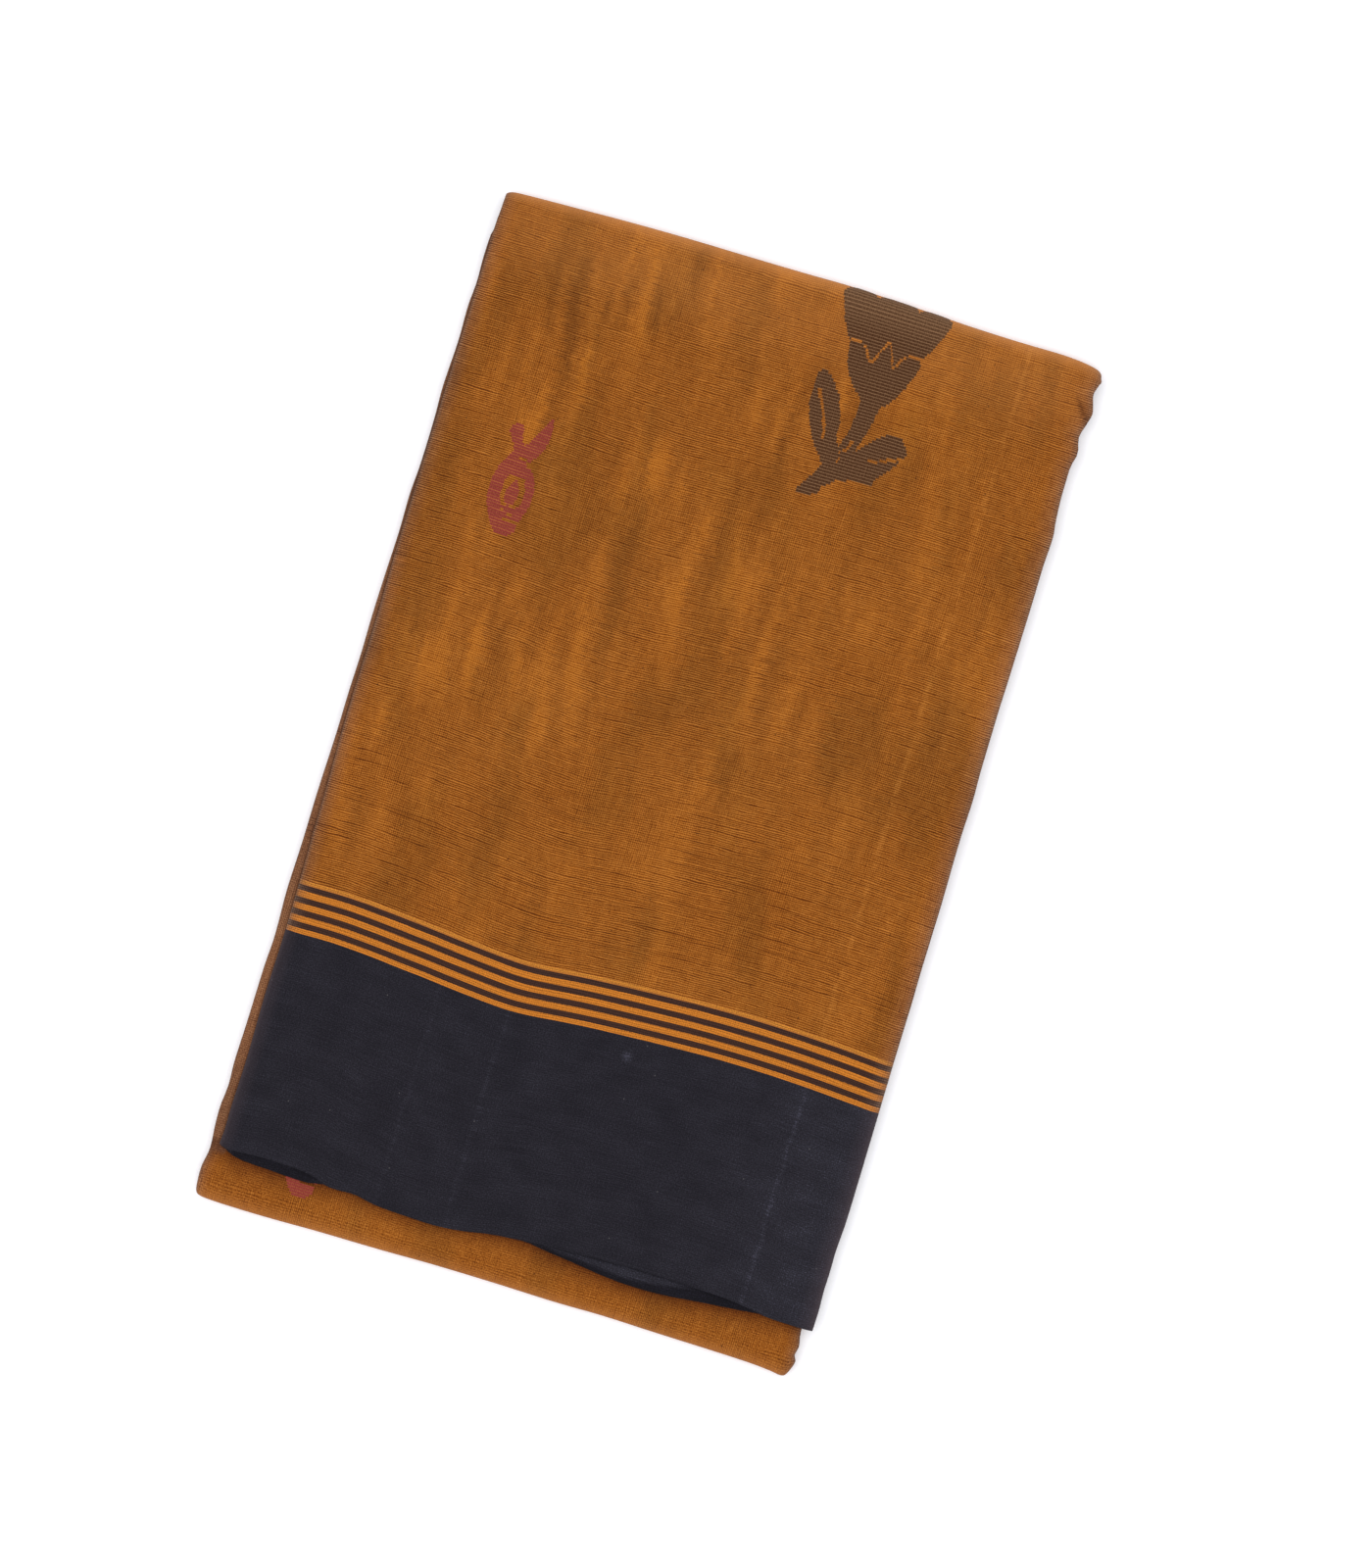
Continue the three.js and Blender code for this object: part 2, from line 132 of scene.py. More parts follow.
# The flap's left edge and its right-hand fold, as (y, x).
flap_left = SmoothTable([
    (-268, -170.4), (-258, -169.8), (-246, -170.0), (-216, -169.6), (-180, -170.3),
    (-160, -170.1), (-140, -169.9), (-111, -170.4), (-86, -171.0), (-63, -171.3),
    (-15, -172.4), (40, -172.3), (75, -172.9), (132, -173.0), (195, -172.9),
    (250, -172.9), (270, -173.0), (280, -172.6), (287, -172.4),
])
flap_right = SmoothTable([
    (-268, 176.8), (-257, 176.9), (-246, 176.4), (-235, 176.5), (-223, 176.3),
    (-206, 177.0), (-186, 177.0), (-160, 176.8), (-131, 176.5), (-108, 176.3),
    (-86, 176.3), (-78, 176.3), (-60, 176.0), (-36, 176.0), (-16, 175.9), (5, 175.5),
    (24, 175.4), (40, 175.8), (58, 175.2), (75, 175.1), (92, 174.9), (110, 175.1),
    (132, 175.2), (155, 175.3), (178, 175.1), (195, 175.6), (203, 174.5), (217, 173.6),
    (226, 173.4), (236, 173.5), (243, 175.1), (246, 174.7), (253, 173.1), (262, 175.4),
    (267, 176.5), (271, 175.7), (278, 173.9), (284, 175.4), (288, 176.2), (291, 175.0),
])

# How far the folds across the packet reach, as (x, y).
top_fold = SmoothTable([
    (-176.8, 287.6), (-173.4, 289.6), (-171.6, 291.3), (-168.6, 292.3), (-164.0, 292.7),
    (-152.0, 293.3), (-130.0, 294.2), (-108.0, 295.1), (-72.0, 296.0), (-30.0, 296.3),
    (0.0, 296.6), (26.0, 297.1), (50.0, 296.6), (72.0, 296.0), (98.0, 295.1),
    (125.0, 294.8), (150.0, 295.1), (161.0, 294.6), (169.0, 293.5), (173.5, 292.0),
    (176.8, 288.6),
])
bottom_fold = SmoothTable([
    (-177.2, -292.4), (-176.2, -294.8), (-174.0, -296.3), (-168.0, -297.1),
    (-150.0, -297.4), (-130.0, -297.2), (-105.0, -296.5), (-70.0, -296.1),
    (-35.0, -295.3), (0.0, -295.2), (35.0, -295.5), (62.0, -295.0), (90.0, -295.4),
    (130.0, -295.8), (150.0, -296.2), (161.0, -297.0), (168.5, -297.6), (171.5, -294.7),
    (176.8, -291.0),
])

# The hems of the flap's two plies, how much of the under one catches the light below
# the outer one, and the first stripe's upper edge, as (x, y).
hem_outer = SmoothTable([
    (-170, -264.4), (-165, -266.0), (-155, -265.3), (-144, -264.6), (-133, -264.9),
    (-121, -265.4), (-113, -267.0), (-107.5, -269.2), (-99, -269.8), (-93.5, -269.3),
    (-88, -269.6), (-82, -270.9), (-77, -271.7), (-65, -272.4), (-42, -272.8),
    (-26, -271.2), (-11, -268.4), (10, -266.4), (22, -265.1), (37, -264.6), (50, -263.7),
    (62, -263.3), (80, -262.8), (97, -263.1), (106, -263.5), (119.5, -263.8),
    (133, -265.0), (142, -266.4), (150, -267.6), (164, -268.0), (177, -268.0),
])
hem_under = SmoothTable([
    (-170, -265.0), (-166, -266.4), (-162.5, -268.4), (-155, -269.7), (-138, -270.4),
    (-121, -271.1), (-114, -270.6), (-107.5, -269.0), (-98, -268.6), (-88, -268.8),
    (-65, -270.6), (-42, -270.8), (-11, -267.6), (9, -266.9), (22, -268.6), (35, -269.9),
    (53, -272.1), (66, -273.1), (80, -273.2), (93, -272.6), (106, -271.2),
    (119.5, -269.8), (133, -268.6), (150, -266.8), (177, -266.2),
])
lit_crescent = SmoothTable([
    (10, 0.0), (22, 1.5), (35, 2.7), (50, 4.4), (62, 6.0), (71, 6.5), (80, 6.1),
    (88, 5.0), (97, 3.3), (106, 1.1), (112, -0.5),
])
stripe_edge = SmoothTable([
    (-165, -112.3), (-141, -112.0), (-117, -113.2), (-93, -115.0), (-69, -117.1),
    (-45, -118.9), (-33, -119.05), (-21, -118.1), (3, -115.7), (27, -114.0),
    (51, -112.6), (75, -111.5), (99, -111.1), (123, -111.4), (147, -112.3),
    (171, -113.8),
])
HEM_V = -267.2
STRIPE_V = -114.6

# The stripes, each as the distance of its upper edge below the first one, where they
# end, and the bright line above them.
STRIPES = [
    (0.0, "black"), (3.3, "orange"), (6.9, "black"), (10.2, "orange"), (13.6, "black"),
    (17.0, "orange"), (20.5, "black"), (23.9, "orange"),
]
STRIPES_END = 26.8
BRIGHT_LINE = 2.4

# How far the cloth's own rows bend with the stripes on their way up to the top fold.
bend_share = SmoothTable([(-115, 1.0), (0, 0.8), (150, 0.5), (284, 0.0)])

# How high each ply's hem curls up, as (x, height).
curl_outer = SmoothTable([
    (-170, 0.2), (-148, 0.9), (-130, 1.3), (-108, 0.5), (-95, 0.2), (-40, 0.1),
    (5, 0.1), (24, 0.7), (45, 1.8), (65, 2.9), (85, 3.2), (106, 2.8), (125, 1.9),
    (142, 0.8), (155, 0.3), (177, 0.2),
])
curl_under = SmoothTable([
    (-170, 0.0), (-130, 0.2), (-95, 0.0), (5, 0.0), (40, 0.4), (85, 0.9), (125, 0.4),
    (155, 0.0),
])
CURL_LENGTH = 55.0

# The long soft troughs and ridges through the upper plies: from x, y, to x, y, how
# far each spreads to a side, and its height.
LONG_CREASES = [
    (-28, -284, -40, -10, 34, -1.0),
    (118, -250, 100, -60, 22, 0.35),
    (-95, -190, -88, 110, 30, 0.3),
    (60, 40, 48, 250, 26, -0.45),
    (-70, 150, -60, 262, 20, -0.35),
    (152, 215, 162, 262, 9, -0.6),
    (134.6, -143, 132.6, -265, 1.6, 0.22),
    (134.2, -110, 133.4, 262, 1.4, 0.12),
    (-38, -150, -36, -244, 1.8, 0.16),
    (-77, -160, -79, -190, 1.5, 0.14),
]

# Puckers that run in from the notches in the flap's right-hand fold: y at the fold,
# length, spread to a side, height, and how far each slants up as it runs in.
PUCKERS = [
    (279, 15, 2.8, -1.5, -3.0),
    (268, 12, 3.6, 1.1, -2.0),
    (254, 20, 3.2, -1.7, 4.0),
    (245, 15, 3.6, 1.0, 3.0),
    (217, 28, 5.5, -1.5, 7.0),
    (200, 20, 6.0, 0.9, 4.0),
    (155, 14, 8.0, -0.5, 2.0),
    (75, 22, 6.0, -0.9, 3.0),
    (-36, 15, 6.0, -0.6, -2.0),
    (-86, 14, 4.0, -0.8, -3.0),
    (-223, 12, 6.0, -0.5, 2.0),
]

# The small tuck by the top right corner, from its inner end to its outer end.
TUCK_START = Vector((166.3, 272.0))
TUCK_END = Vector((174.3, 261.2))
TUCK_DEPTH = 0.5
TUCK_RIDGE = 1.9
TUCK_WIDTH = 0.9


def share_between(at, low, high):
    return min(1.0, max(0.0, (at - low) / (high - low)))


def ease(share):
    return share * share * (3 - 2 * share)


def crease_height(crease, x, y):
    x0, y0, x1, y1, spread, height = crease
    along = Vector((x1 - x0, y1 - y0))
    point = Vector((x - x0, y - y0))
    share = point.dot(along) / along.length_squared
    away = (point - along * share).length / spread
    fade = math.sin(math.pi * min(1.0, max(0.0, share)))
    return height * math.exp(-away * away) * math.sqrt(fade)


def swell(x, y):
    """How much the packet swells over its hidden layers, with its long creases."""
    across = 1 - (x / HALF_WIDTH) ** 4
    along = 1 - min(1.0, abs(y) / FOLD_START) ** 6
    height = CROWN * max(0.0, across) * along
    for crease in LONG_CREASES:
        height += crease_height(crease, x, y) * along
    return max(0.0, height)


def ripple(x, y):
    """The slight unevenness that ironing leaves."""
    coarse = noise.noise(Vector((x / 46, y / 90, 3.1)))
    fine = noise.noise(Vector((x / 17, y / 30, 8.7)))
    return 0.28 * coarse + 0.12 * fine


def pucker_height(x, y):
    inward = max(0.0, flap_right(y) - x)
    height = 0.0
    for at, length, spread, depth, slant in PUCKERS:
        if inward > length or abs(y - at) > 4 * spread + abs(slant):
            continue
        share = inward / length
        away = (y - at - slant * share) / spread
        height += depth * (1 - share) ** 2 * math.exp(-away * away)
    clear = share_between(x, packet_right(y) + 0.3, packet_right(y) + 2.5)
    return max(height, -PUCKER_ROOM - OVERHANG_ROOM * clear)


def beside_tuck(x, y):
    """(share along the tuck, distance to its inner side)"""
    along = TUCK_END - TUCK_START
    point = Vector((x, y)) - TUCK_START
    across = (point.x * along.y - point.y * along.x) / along.length
    return point.dot(along) / along.length_squared, across


def tuck_height(x, y):
    """A sharp little step down, which opens towards the fold."""
    share, across = beside_tuck(x, y)
    if share < -0.3 or share > 1.3 or abs(across) > 12:
        return 0.0
    ends = ease(share_between(share, -0.3, 0.4)) * (1 - ease(share_between(share, 1.0, 1.3)))
    outside = ease(share_between(-across, -TUCK_WIDTH, TUCK_WIDTH))
    recover = 1 - ease(share_between(-across, 2.0, 9.0))
    ridge = TUCK_RIDGE * (1 - outside) * (1 - ease(share_between(across, 0.5, 9.0)))
    return ends * (ridge - TUCK_DEPTH * outside * recover)


def tuck_shade(x, y):
    """How much painted shade darkens the cloth on the tuck's outer side, where it faces
    away from the light.
    """
    share, across = beside_tuck(x, y)
    if across > 0.6 or share > 1.2:
        return 0.0
    crease = 0.3 * (1 - share_between(abs(across), 0.0, 1.2))
    facet = 0.4 * (1 - share_between(-across, 1.0, 7.0))
    return ease(share_between(share, -0.5, 0.4)) * (crease + facet)


def overhang_drop(x, y):
    """How far the flap hangs down where it reaches past the packet's side."""
    past = share_between(x, packet_right(y) + 1.0, packet_right(y) + 6.0)
    return OVERHANG_DROP * past * past


def edge_roll(x, y):
    """How the flap rolls down over its right-hand fold and, less, its left edge."""
    right = share_between(x, flap_right(y) - RIGHT_ROLL_START, flap_right(y))
    left = share_between(-x, -flap_left(y) - LEFT_ROLL_START, -flap_left(y))
    return RIGHT_ROLL * right * right + LEFT_ROLL * left * left


def hem_curl(ply, x, y):
    hem, curl = (hem_outer, curl_outer) if ply == "outer" else (hem_under, curl_under)
    share = 1 - share_between(y, hem(x), hem(x) + CURL_LENGTH)
    return curl(x) * share * share


def row_bend(ply, x, v):
    """How far the cloth's row v lies above y = v at x."""
    hem = hem_outer if ply == "outer" else hem_under
    by_hem = hem(x) - HEM_V
    by_stripe = stripe_edge(x) - STRIPE_V
    if v < STRIPE_V:
        share = ease(share_between(v, HEM_V, STRIPE_V))
        return by_hem + (by_stripe - by_hem) * share
    return by_stripe * bend_share(v)


def flap_point(ply, x, v, depth):
    """A point of the flap at x, in the cloth's row v and depth below its outer face."""
    if v <= FOLD_START:
        y = v + row_bend(ply, x, v)
        near_top = 1 - ease(share_between(y, FOLD_START - RELIEF_FADE, FOLD_START))
        height = FLAP_TOP + swell(x, y) + hem_curl(ply, x, y) - overhang_drop(x, y)
        relief = ripple(x, y) + pucker_height(x, y) + tuck_height(x, y)
        height += near_top * relief - near_top * edge_roll(x, y)
        return Vector((x, y, height - depth))
    turned = (v - FOLD_START) / TOP_ARC * math.pi
    if turned < math.pi:
        half = FLAP_TOP / 2
        out, up = math.sin(turned), math.cos(turned)
        reach = top_fold(x) - FOLD_START
        normal = Vector((0, out / reach, up / half)).normalized()
        return Vector((x, FOLD_START + reach * out, half + half * up)) - normal * depth
    return Vector((x, FOLD_START - (v - FOLD_START - TOP_ARC), depth))


def packet_point(x, v, depth):
    """A point of the packet's own outer ply; v falls from its top round to below."""
    if v >= -FOLD_START:
        height = PACKET_TOP + swell(x, v) + 0.5 * ripple(x, v)
        ends = share_between(v, -FOLD_START, -FOLD_START + RELIEF_FADE)
        height -= (1 - ends) * 0.5 * ripple(x, v)
        return Vector((x, v, height - depth))
    turned = (-FOLD_START - v) / BOTTOM_ARC * math.pi
    if turned < math.pi:
        half = PACKET_TOP / 2
        out, up = math.sin(turned), math.cos(turned)
        reach = -FOLD_START - bottom_fold(x)
        normal = Vector((0, -out / reach, up / half)).normalized()
        return Vector((x, -FOLD_START - reach * out, half + half * up)) - normal * depth
    return Vector((x, -FOLD_START + (-FOLD_START - BOTTOM_ARC - v), depth))


def spaced(start, end, coarse, fine, margin):
    """Places from start to end, closer together within margin of both ends."""
    places = [start]
    while places[-1] < end - 1e-6:
        from_end = min(places[-1] - start, end - places[-1])
        share = ease(share_between(from_end, 0, margin))
        places.append(places[-1] + fine + (coarse - fine) * share)
    stretch = (end - start) / (places[-1] - start)
    return [start + (place - start) * stretch for place in places]


def cloth_mesh(name, points, uvs, faces):
    """Points in millimetres, turned into a mesh in metres with its UVs."""
    mesh = bpy.data.meshes.new(name)
    mesh.from_pydata([tuple(value * MM for value in point) for point in points], [], faces)
    layer = mesh.uv_layers.new(name="cloth")
    for loop in mesh.loops:
        u, v = uvs[loop.vertex_index]
        layer.data[loop.index].uv = (u * MM, v * MM)
    obj = bpy.data.objects.new(name, mesh)
    bpy.context.collection.objects.link(obj)
    mesh.shade_smooth()
    return obj


def cloth_grid(name, rows, uvs, closed_rows=False):
    """A mesh whose points lie in rows."""
    count, width = len(rows), len(rows[0])
    faces = []
    for i in range(count if closed_rows else count - 1):
        for j in range(width - 1):
            a, b = i * width + j, ((i + 1) % count) * width + j
            faces.append((a, a + 1, b + 1, b))
    points = [point for row in rows for point in row]
    return cloth_mesh(name, points, [uv for row in uvs for uv in row], faces)


def apply_modifier(obj, kind, **settings):
    bpy.ops.object.select_all(action="DESELECT")
    bpy.context.view_layer.objects.active = obj
    obj.select_set(True)
    modifier = obj.modifiers.new(kind.title(), kind)
    for name, value in settings.items():
        setattr(modifier, name, value)
    bpy.ops.object.modifier_apply(modifier=modifier.name)


def set_tint(obj, shares):
    """Keeps three shares for each point, in this order: how grey it is from wear and
    painted edge shade, how much a painted highlight lightens it, and how much painted
    shade darkens it.
    """
    tint = obj.data.attributes.new("tint", "FLOAT_COLOR", "POINT")
    for entry, (rim, pale, shade) in zip(tint.data, shares):
        entry.color = (rim, pale, shade, 1.0)


def edge_wear_and_shade(inward, soft_width, hard_width):
    """How grey the cloth is painted at a distance in from a folded edge: partly wear, and
    partly painted shade where the fold turns away from the light.
    """
    soft = 1 - share_between(inward, 0, soft_width)
    hard = 1 - share_between(inward, 0, hard_width)
    return 0.45 * soft ** 1.3 + 0.4 * ease(hard)


def fold_light(v):
    """How much a painted highlight lightens the cloth round a fold across the packet,
    where it faces the light.
    """
    past = abs(v) - FOLD_START
    return 0.6 * share_between(past, 3, 11) * (1 - share_between(past, 18, 28))


def hem_shadow(x, v):
    """How much painted shadow darkens the under ply below the outer hem: all of it at the
    left, and what lies below a lit crescent at the right."""
    down = HEM_V + hem_outer(x) - hem_under(x) - v
    lit = lit_crescent(x)
    below = ease(share_between(down, lit - 0.5, lit + 0.7))
    under_edge = 0.7 * (1 - share_between(down, 0.2, 1.6))
    return max(below, under_edge)


def turned_edge(edge, side, radius, straight, steps=6):
    """(x, depth, length from the flat) down a turned edge, from its flat part out."""
    middle = edge - side * radius
    inner = radius - CLOTH / 2
    section = []
    for step in range(1, steps + 1):
        angle = step / steps * math.pi / 2
        x = middle + side * inner * math.sin(angle)
        section.append((x, radius - inner * math.cos(angle), inner * angle))
    end = section[-1]
    section.append((end[0], end[1] + straight, end[2] + straight))
    return section


def flap_cloth():
    """The flap: its outer ply, the right-hand fold, and the ply under it."""
    top_rows = spaced(HEM_V, FOLD_START, coarse=4.6, fine=1.2, margin=60)
    border_v = STRIPE_V - STRIPES_END
    nearest = min(range(len(top_rows)), key=lambda row: abs(top_rows[row] - border_v))
    top_rows[nearest] = border_v
    arc_rows = [FOLD_START + TOP_ARC * step / 14 for step in range(1, 14)]
    tuck_rows = [FOLD_START + TOP_ARC + step * FLAP_TUCK / 8 for step in range(9)]
    across = [share / 1000 for share in spaced(0, 1000, coarse=12, fine=3.2, margin=110)]
    under = [share / 1000 for share in spaced(0, 1000, coarse=22, fine=4, margin=60)]
    middle = UNDER_PLY_DEPTH / 2
    rows, uvs, tints = [], [], []
    for v in top_rows + arc_rows + tuck_rows:
        nominal_y, inset = min(v, FOLD_START + 6), 0.0
        if v >= FOLD_START + TOP_ARC:
            nominal_y, inset = 2 * FOLD_START + TOP_ARC - v, TUCK_INSET
        left, right = flap_left(nominal_y) + inset, flap_right(nominal_y) - inset
        centre = right - middle - CLOTH / 2
        section = []
        for share in across:
            x = left + (centre - left) * share
            section.append(("outer", x, CLOTH / 2, x))
        for step in range(1, 6):
            angle = step / 6 * math.pi
            x = centre + middle * math.sin(angle)
            depth = CLOTH / 2 + middle * (1 - math.cos(angle))
            ply = "outer" if step < 3 else "under"
            section.append((ply, x, depth, centre + middle * angle))
        for share in under:
            x = centre + (left + 0.8 - centre) * share
            along = centre + middle * math.pi + (centre - x)
            section.append(("under", x, CLOTH / 2 + UNDER_PLY_DEPTH, along))
        rows.append([flap_point(ply, x, v, depth) for ply, x, depth, _ in section])
        uvs.append([(along, v) for _, _, _, along in section])
        for ply, x, depth, _ in section:
            # The cloth turns grey near both side edges, partly wear and partly painted shade, and
            # grows paler towards and round the top fold, a painted highlight.
            rim = edge_wear_and_shade(right - x, soft_width=12, hard_width=4.5)
            rim += edge_wear_and_shade(x - left, soft_width=9, hard_width=2.4)
            pale = 0.11 * ease(share_between(v, FOLD_START - 50, FOLD_START - 8))
            pale += fold_light(v)
            # The outer ply gets painted shade on the tuck's outer side and along its left edge; the
            # under ply gets painted shadow below the outer hem and painted shade all over where it
            # lies hidden.
            if ply == "outer":
                shade = tuck_shade(x, v) + 0.2 * (1 - share_between(x - left, 1, 6))
            else:
                shade = hem_shadow(x, v) if v < HEM_V + 40 else 0.4
            tints.append((rim, pale, shade))
    flap = cloth_grid("flap", rows, uvs)
    set_tint(flap, tints)
    apply_modifier(flap, "SOLIDIFY", thickness=CLOTH * MM, offset=0.0)
    return flap


def packet_cloth():
    """The packet's own outer ply, with its edges turned in at both sides."""
    seam = -FOLD_START - BOTTOM_ARC - (2 * FOLD_START - FLAP_TUCK - SEAM_GAP)
    below_rows = spaced(seam, -FOLD_START - BOTTOM_ARC, coarse=7, fine=4, margin=40)
    arc_rows = [-FOLD_START - BOTTOM_ARC * (1 - step / 14) for step in range(1, 14)]
    top_rows = spaced(-FOLD_START, UNDER_FOLD_END, coarse=5, fine=2.5, margin=40)
    across = [share / 1000 for share in spaced(0, 1000, coarse=22, fine=4, margin=80)]
    rows, uvs, tints = [], [], []
    for v in below_rows + arc_rows + top_rows:
        if v >= -FOLD_START:
            nominal_y, fold_share = v, 0.0
        elif v > -FOLD_START - BOTTOM_ARC:
            fold_share = math.sin((-FOLD_START - v) / BOTTOM_ARC * math.pi)
            nominal_y = -FOLD_START - 8 * fold_share
        else:
            nominal_y, fold_share = -2 * FOLD_START - BOTTOM_ARC - v, 0.0
        left, right = packet_left(nominal_y), packet_right(nominal_y)
        straight = 1 - fold_share
        left_turn = turned_edge(left, -1, LEFT_TURN, LEFT_DROP * straight)
        right_turn = turned_edge(right, 1, RIGHT_TURN, RIGHT_DROP * straight)
        first, last = left + LEFT_TURN, right - RIGHT_TURN
        section = [(x, depth, first - far) for x, depth, far in reversed(left_turn)]
        for share in across:
            x = first + (last - first) * share
            section.append((x, CLOTH / 2, x))
        section += [(x, depth, last + far) for x, depth, far in right_turn]
        rows.append([packet_point(x, v, depth) for x, depth, _ in section])
        uvs.append([(along, v) for _, _, along in section])
        for x, depth, _ in section:
            # The cloth is grey near both turned edges, partly wear and partly painted shade.
            # Painted shadow darkens it towards the flap's under hem above it. In the strip beside
            # the flap's left edge it is painted grey and shaded, with a painted shadow line along
            # that edge. Round the bottom fold a painted highlight makes it paler.
            rim = edge_wear_and_shade(right - x, soft_width=8, hard_width=3.0)
            rim += edge_wear_and_shade(x - left, soft_width=8, hard_width=3.5)
            hem = hem_under(x)
            shade = 0.85 * share_between(v, hem - 13, hem) ** 1.4
            if v > hem - 4 and x < left + 9:
                shade = max(0.2, shade * (1 - share_between(v, hem, hem + 6)))
                beside = share_between(x, flap_left(v) - 2.2, flap_left(v) - 0.6)
                shade = max(shade, 0.62 * beside)
                rim = max(rim, 0.66)
            tints.append((rim, 0.6 * fold_light(v), shade))
    packet = cloth_grid("packet", rows, uvs)
    set_tint(packet, tints)
    apply_modifier(packet, "SOLIDIFY", thickness=CLOTH * MM, offset=0.0)
    return packet


LAYERS = 5
LAYER_PITCH = 1.09
LAYER_THICKNESS = 1.04
LAYER_ARC = 12
LAYER_CORNER = 5.0
LIP = 1.2


def layer_ring(depth):
    """(v, y, z, outward, end) round a nested layer at a depth below the outermost one.
    end is 1 on the fold at the top, -1 on the one at the bottom and 0 between."""
    low, high = LAYERS_BOTTOM + depth, LAYERS_TOP - depth
    half, middle = (high - low) / 2, (high + low) / 2
    stations = spaced(-FOLD_START, FOLD_START, coarse=6, fine=4, margin=30)
    ring = [(y, y, high, (0, 1), 0.0) for y in stations]
    for step in range(1, 10):
        angle = step / 10 * math.pi
        outward = (math.sin(angle), math.cos(angle))
        ring.append((FOLD_START + LAYER_ARC * step / 10, FOLD_START, middle, outward, 1.0))
    ring += [(FOLD_START * 2 + LAYER_ARC - y, y, low, (0, -1), 0.0) for y in reversed(stations)]
    for step in range(1, 10):
        angle = math.pi - step / 10 * math.pi
        outward = (-math.sin(angle), math.cos(angle))
        ring.append((-FOLD_START - LAYER_ARC * step / 10, -FOLD_START, middle, outward, -1.0))
    return ring, half


def layer_section(left, right):
    """(x, share of the thickness) across a layer, with a doubled lip at both sides."""
    between = [left + (right - left) * share / 8 for share in range(1, 8)]
    columns = [left + LIP, left + 6, *between, right - 6, right - LIP]
    lips = []
    for share in [step / 8 for step in range(1, 8)]:
        bulge = math.sqrt(1 - (4 * (share % 0.5) - 1) ** 2)
        lips.append((LIP * (0.35 + 0.65 * bulge), share))
    section = [(x, 0.0) for x in columns]
    section += [(right - LIP + out, share) for out, share in lips]
    section += [(x, 1.0) for x in reversed(columns)]
    section += [(left + LIP - out, share) for out, share in reversed(lips)]
    return section + section[:1]


def inner_layers():
    """The hidden layers, nested in each other, each with a doubled edge at both sides."""
    pieces = []
    for layer in range(LAYERS):
        depth = layer * LAYER_PITCH
        ring, half = layer_ring(depth)
        rows, uvs = [], []
        for v, y, z, (out_y, out_z), end in ring:
            wave = 0.55 * noise.noise(Vector((v / 38, layer * 7.3, 1.7)))
            wave += 0.35 * noise.noise(Vector((v / 13, layer * 5.1, 9.2)))
            nominal = y + end * 7 * abs(out_y)
            inset = 0.9 + 0.35 * (layer % 3)
            left = packet_left(nominal) + inset + wave
            right = packet_right(nominal) - inset - wave
            if end:
                corner = LAYER_CORNER * (1 - math.sqrt(max(0.0, 1 - out_y * out_y)))
                left, right = left + corner, right - corner
            row = []
            for x, share in layer_section(left, right):
                down = share * LAYER_THICKNESS
                if end:
                    table = top_fold if end > 0 else bottom_fold
                    reach = abs(table(x)) - FOLD_START - 2.0 - depth - down
                    row.append((x, y + out_y * max(0.5, reach), z + out_z * (half - down)))
                else:
                    row.append((x, y, z - out_z * down))
            rows.append(row)
            uvs.append([(point[0] + 40 * layer, v) for point in row])
        piece = cloth_grid(f"inner_layer_{layer + 1}", rows, uvs, closed_rows=True)
        apply_modifier(piece, "WELD", merge_threshold=0.00001)
        # The hidden layers are painted grey and darker all over: painted shade where they lie
        # recessed inside the packet.
        shade = 0.25 + 0.1 * (layer % 2)
        set_tint(piece, [(0.75, 0.0, shade)] * len(piece.data.vertices))
        pieces.append(piece)
    return pieces


# Woven motifs. Each is charted in millimetres on the cloth, as closed
# outlines of x, v that are filled, and others that are left open as veins.
FLOWER_FILLED = [
    # The bloom, which runs on over the top fold.
    [(35, 266.5), (29, 277), (25.5, 286), (23.5, 292), (27, 296), (31, 299.5), (37, 300.5),
     (41.5, 297), (43.5, 293), (46, 296), (50, 300), (56, 302), (62, 300), (66, 296),
     (67.5, 292.5), (70, 295.5), (74, 299.5), (80, 300), (84.5, 297), (87.8, 292),
     (85, 284), (80.5, 275), (76.5, 267)],
    # The cup under it.
    [(35, 266.2), (36.5, 257), (39.5, 249), (44, 242.5), (50.5, 236.5), (64.5, 236.5),
     (69, 243), (72.5, 250), (75.5, 258), (77, 265.4), (74, 268), (43, 268)],
    # The stem, down to its foot.
    [(50.5, 238), (50, 226), (49, 217), (46, 207), (41, 198), (37.5, 190), (33.5, 184),
     (29.6, 178.5), (31, 177), (38.5, 177.6), (42.6, 180), (43.6, 184), (49.5, 188),
     (53, 196), (55, 206), (58, 216), (60.5, 226), (62.5, 238)],
    # The left leaf.
    [(23, 246), (27, 246.6), (30.2, 246), (34, 241), (38, 236), (40.5, 229), (43, 222),
     (43.2, 214), (46.5, 206), (48, 199), (40, 196), (34.5, 203), (30, 209), (26, 218),
     (22.8, 228), (23.4, 238)],
    # The right leaf.
    [(50, 197), (55, 206), (61, 213.5), (67, 219.5), (71, 221.8), (78.5, 221.6),
     (82, 218), (84.2, 213), (80.5, 207.5), (76, 201), (71.5, 196), (69.5, 191),
     (58, 190.6), (48, 190), (44, 190)],
]
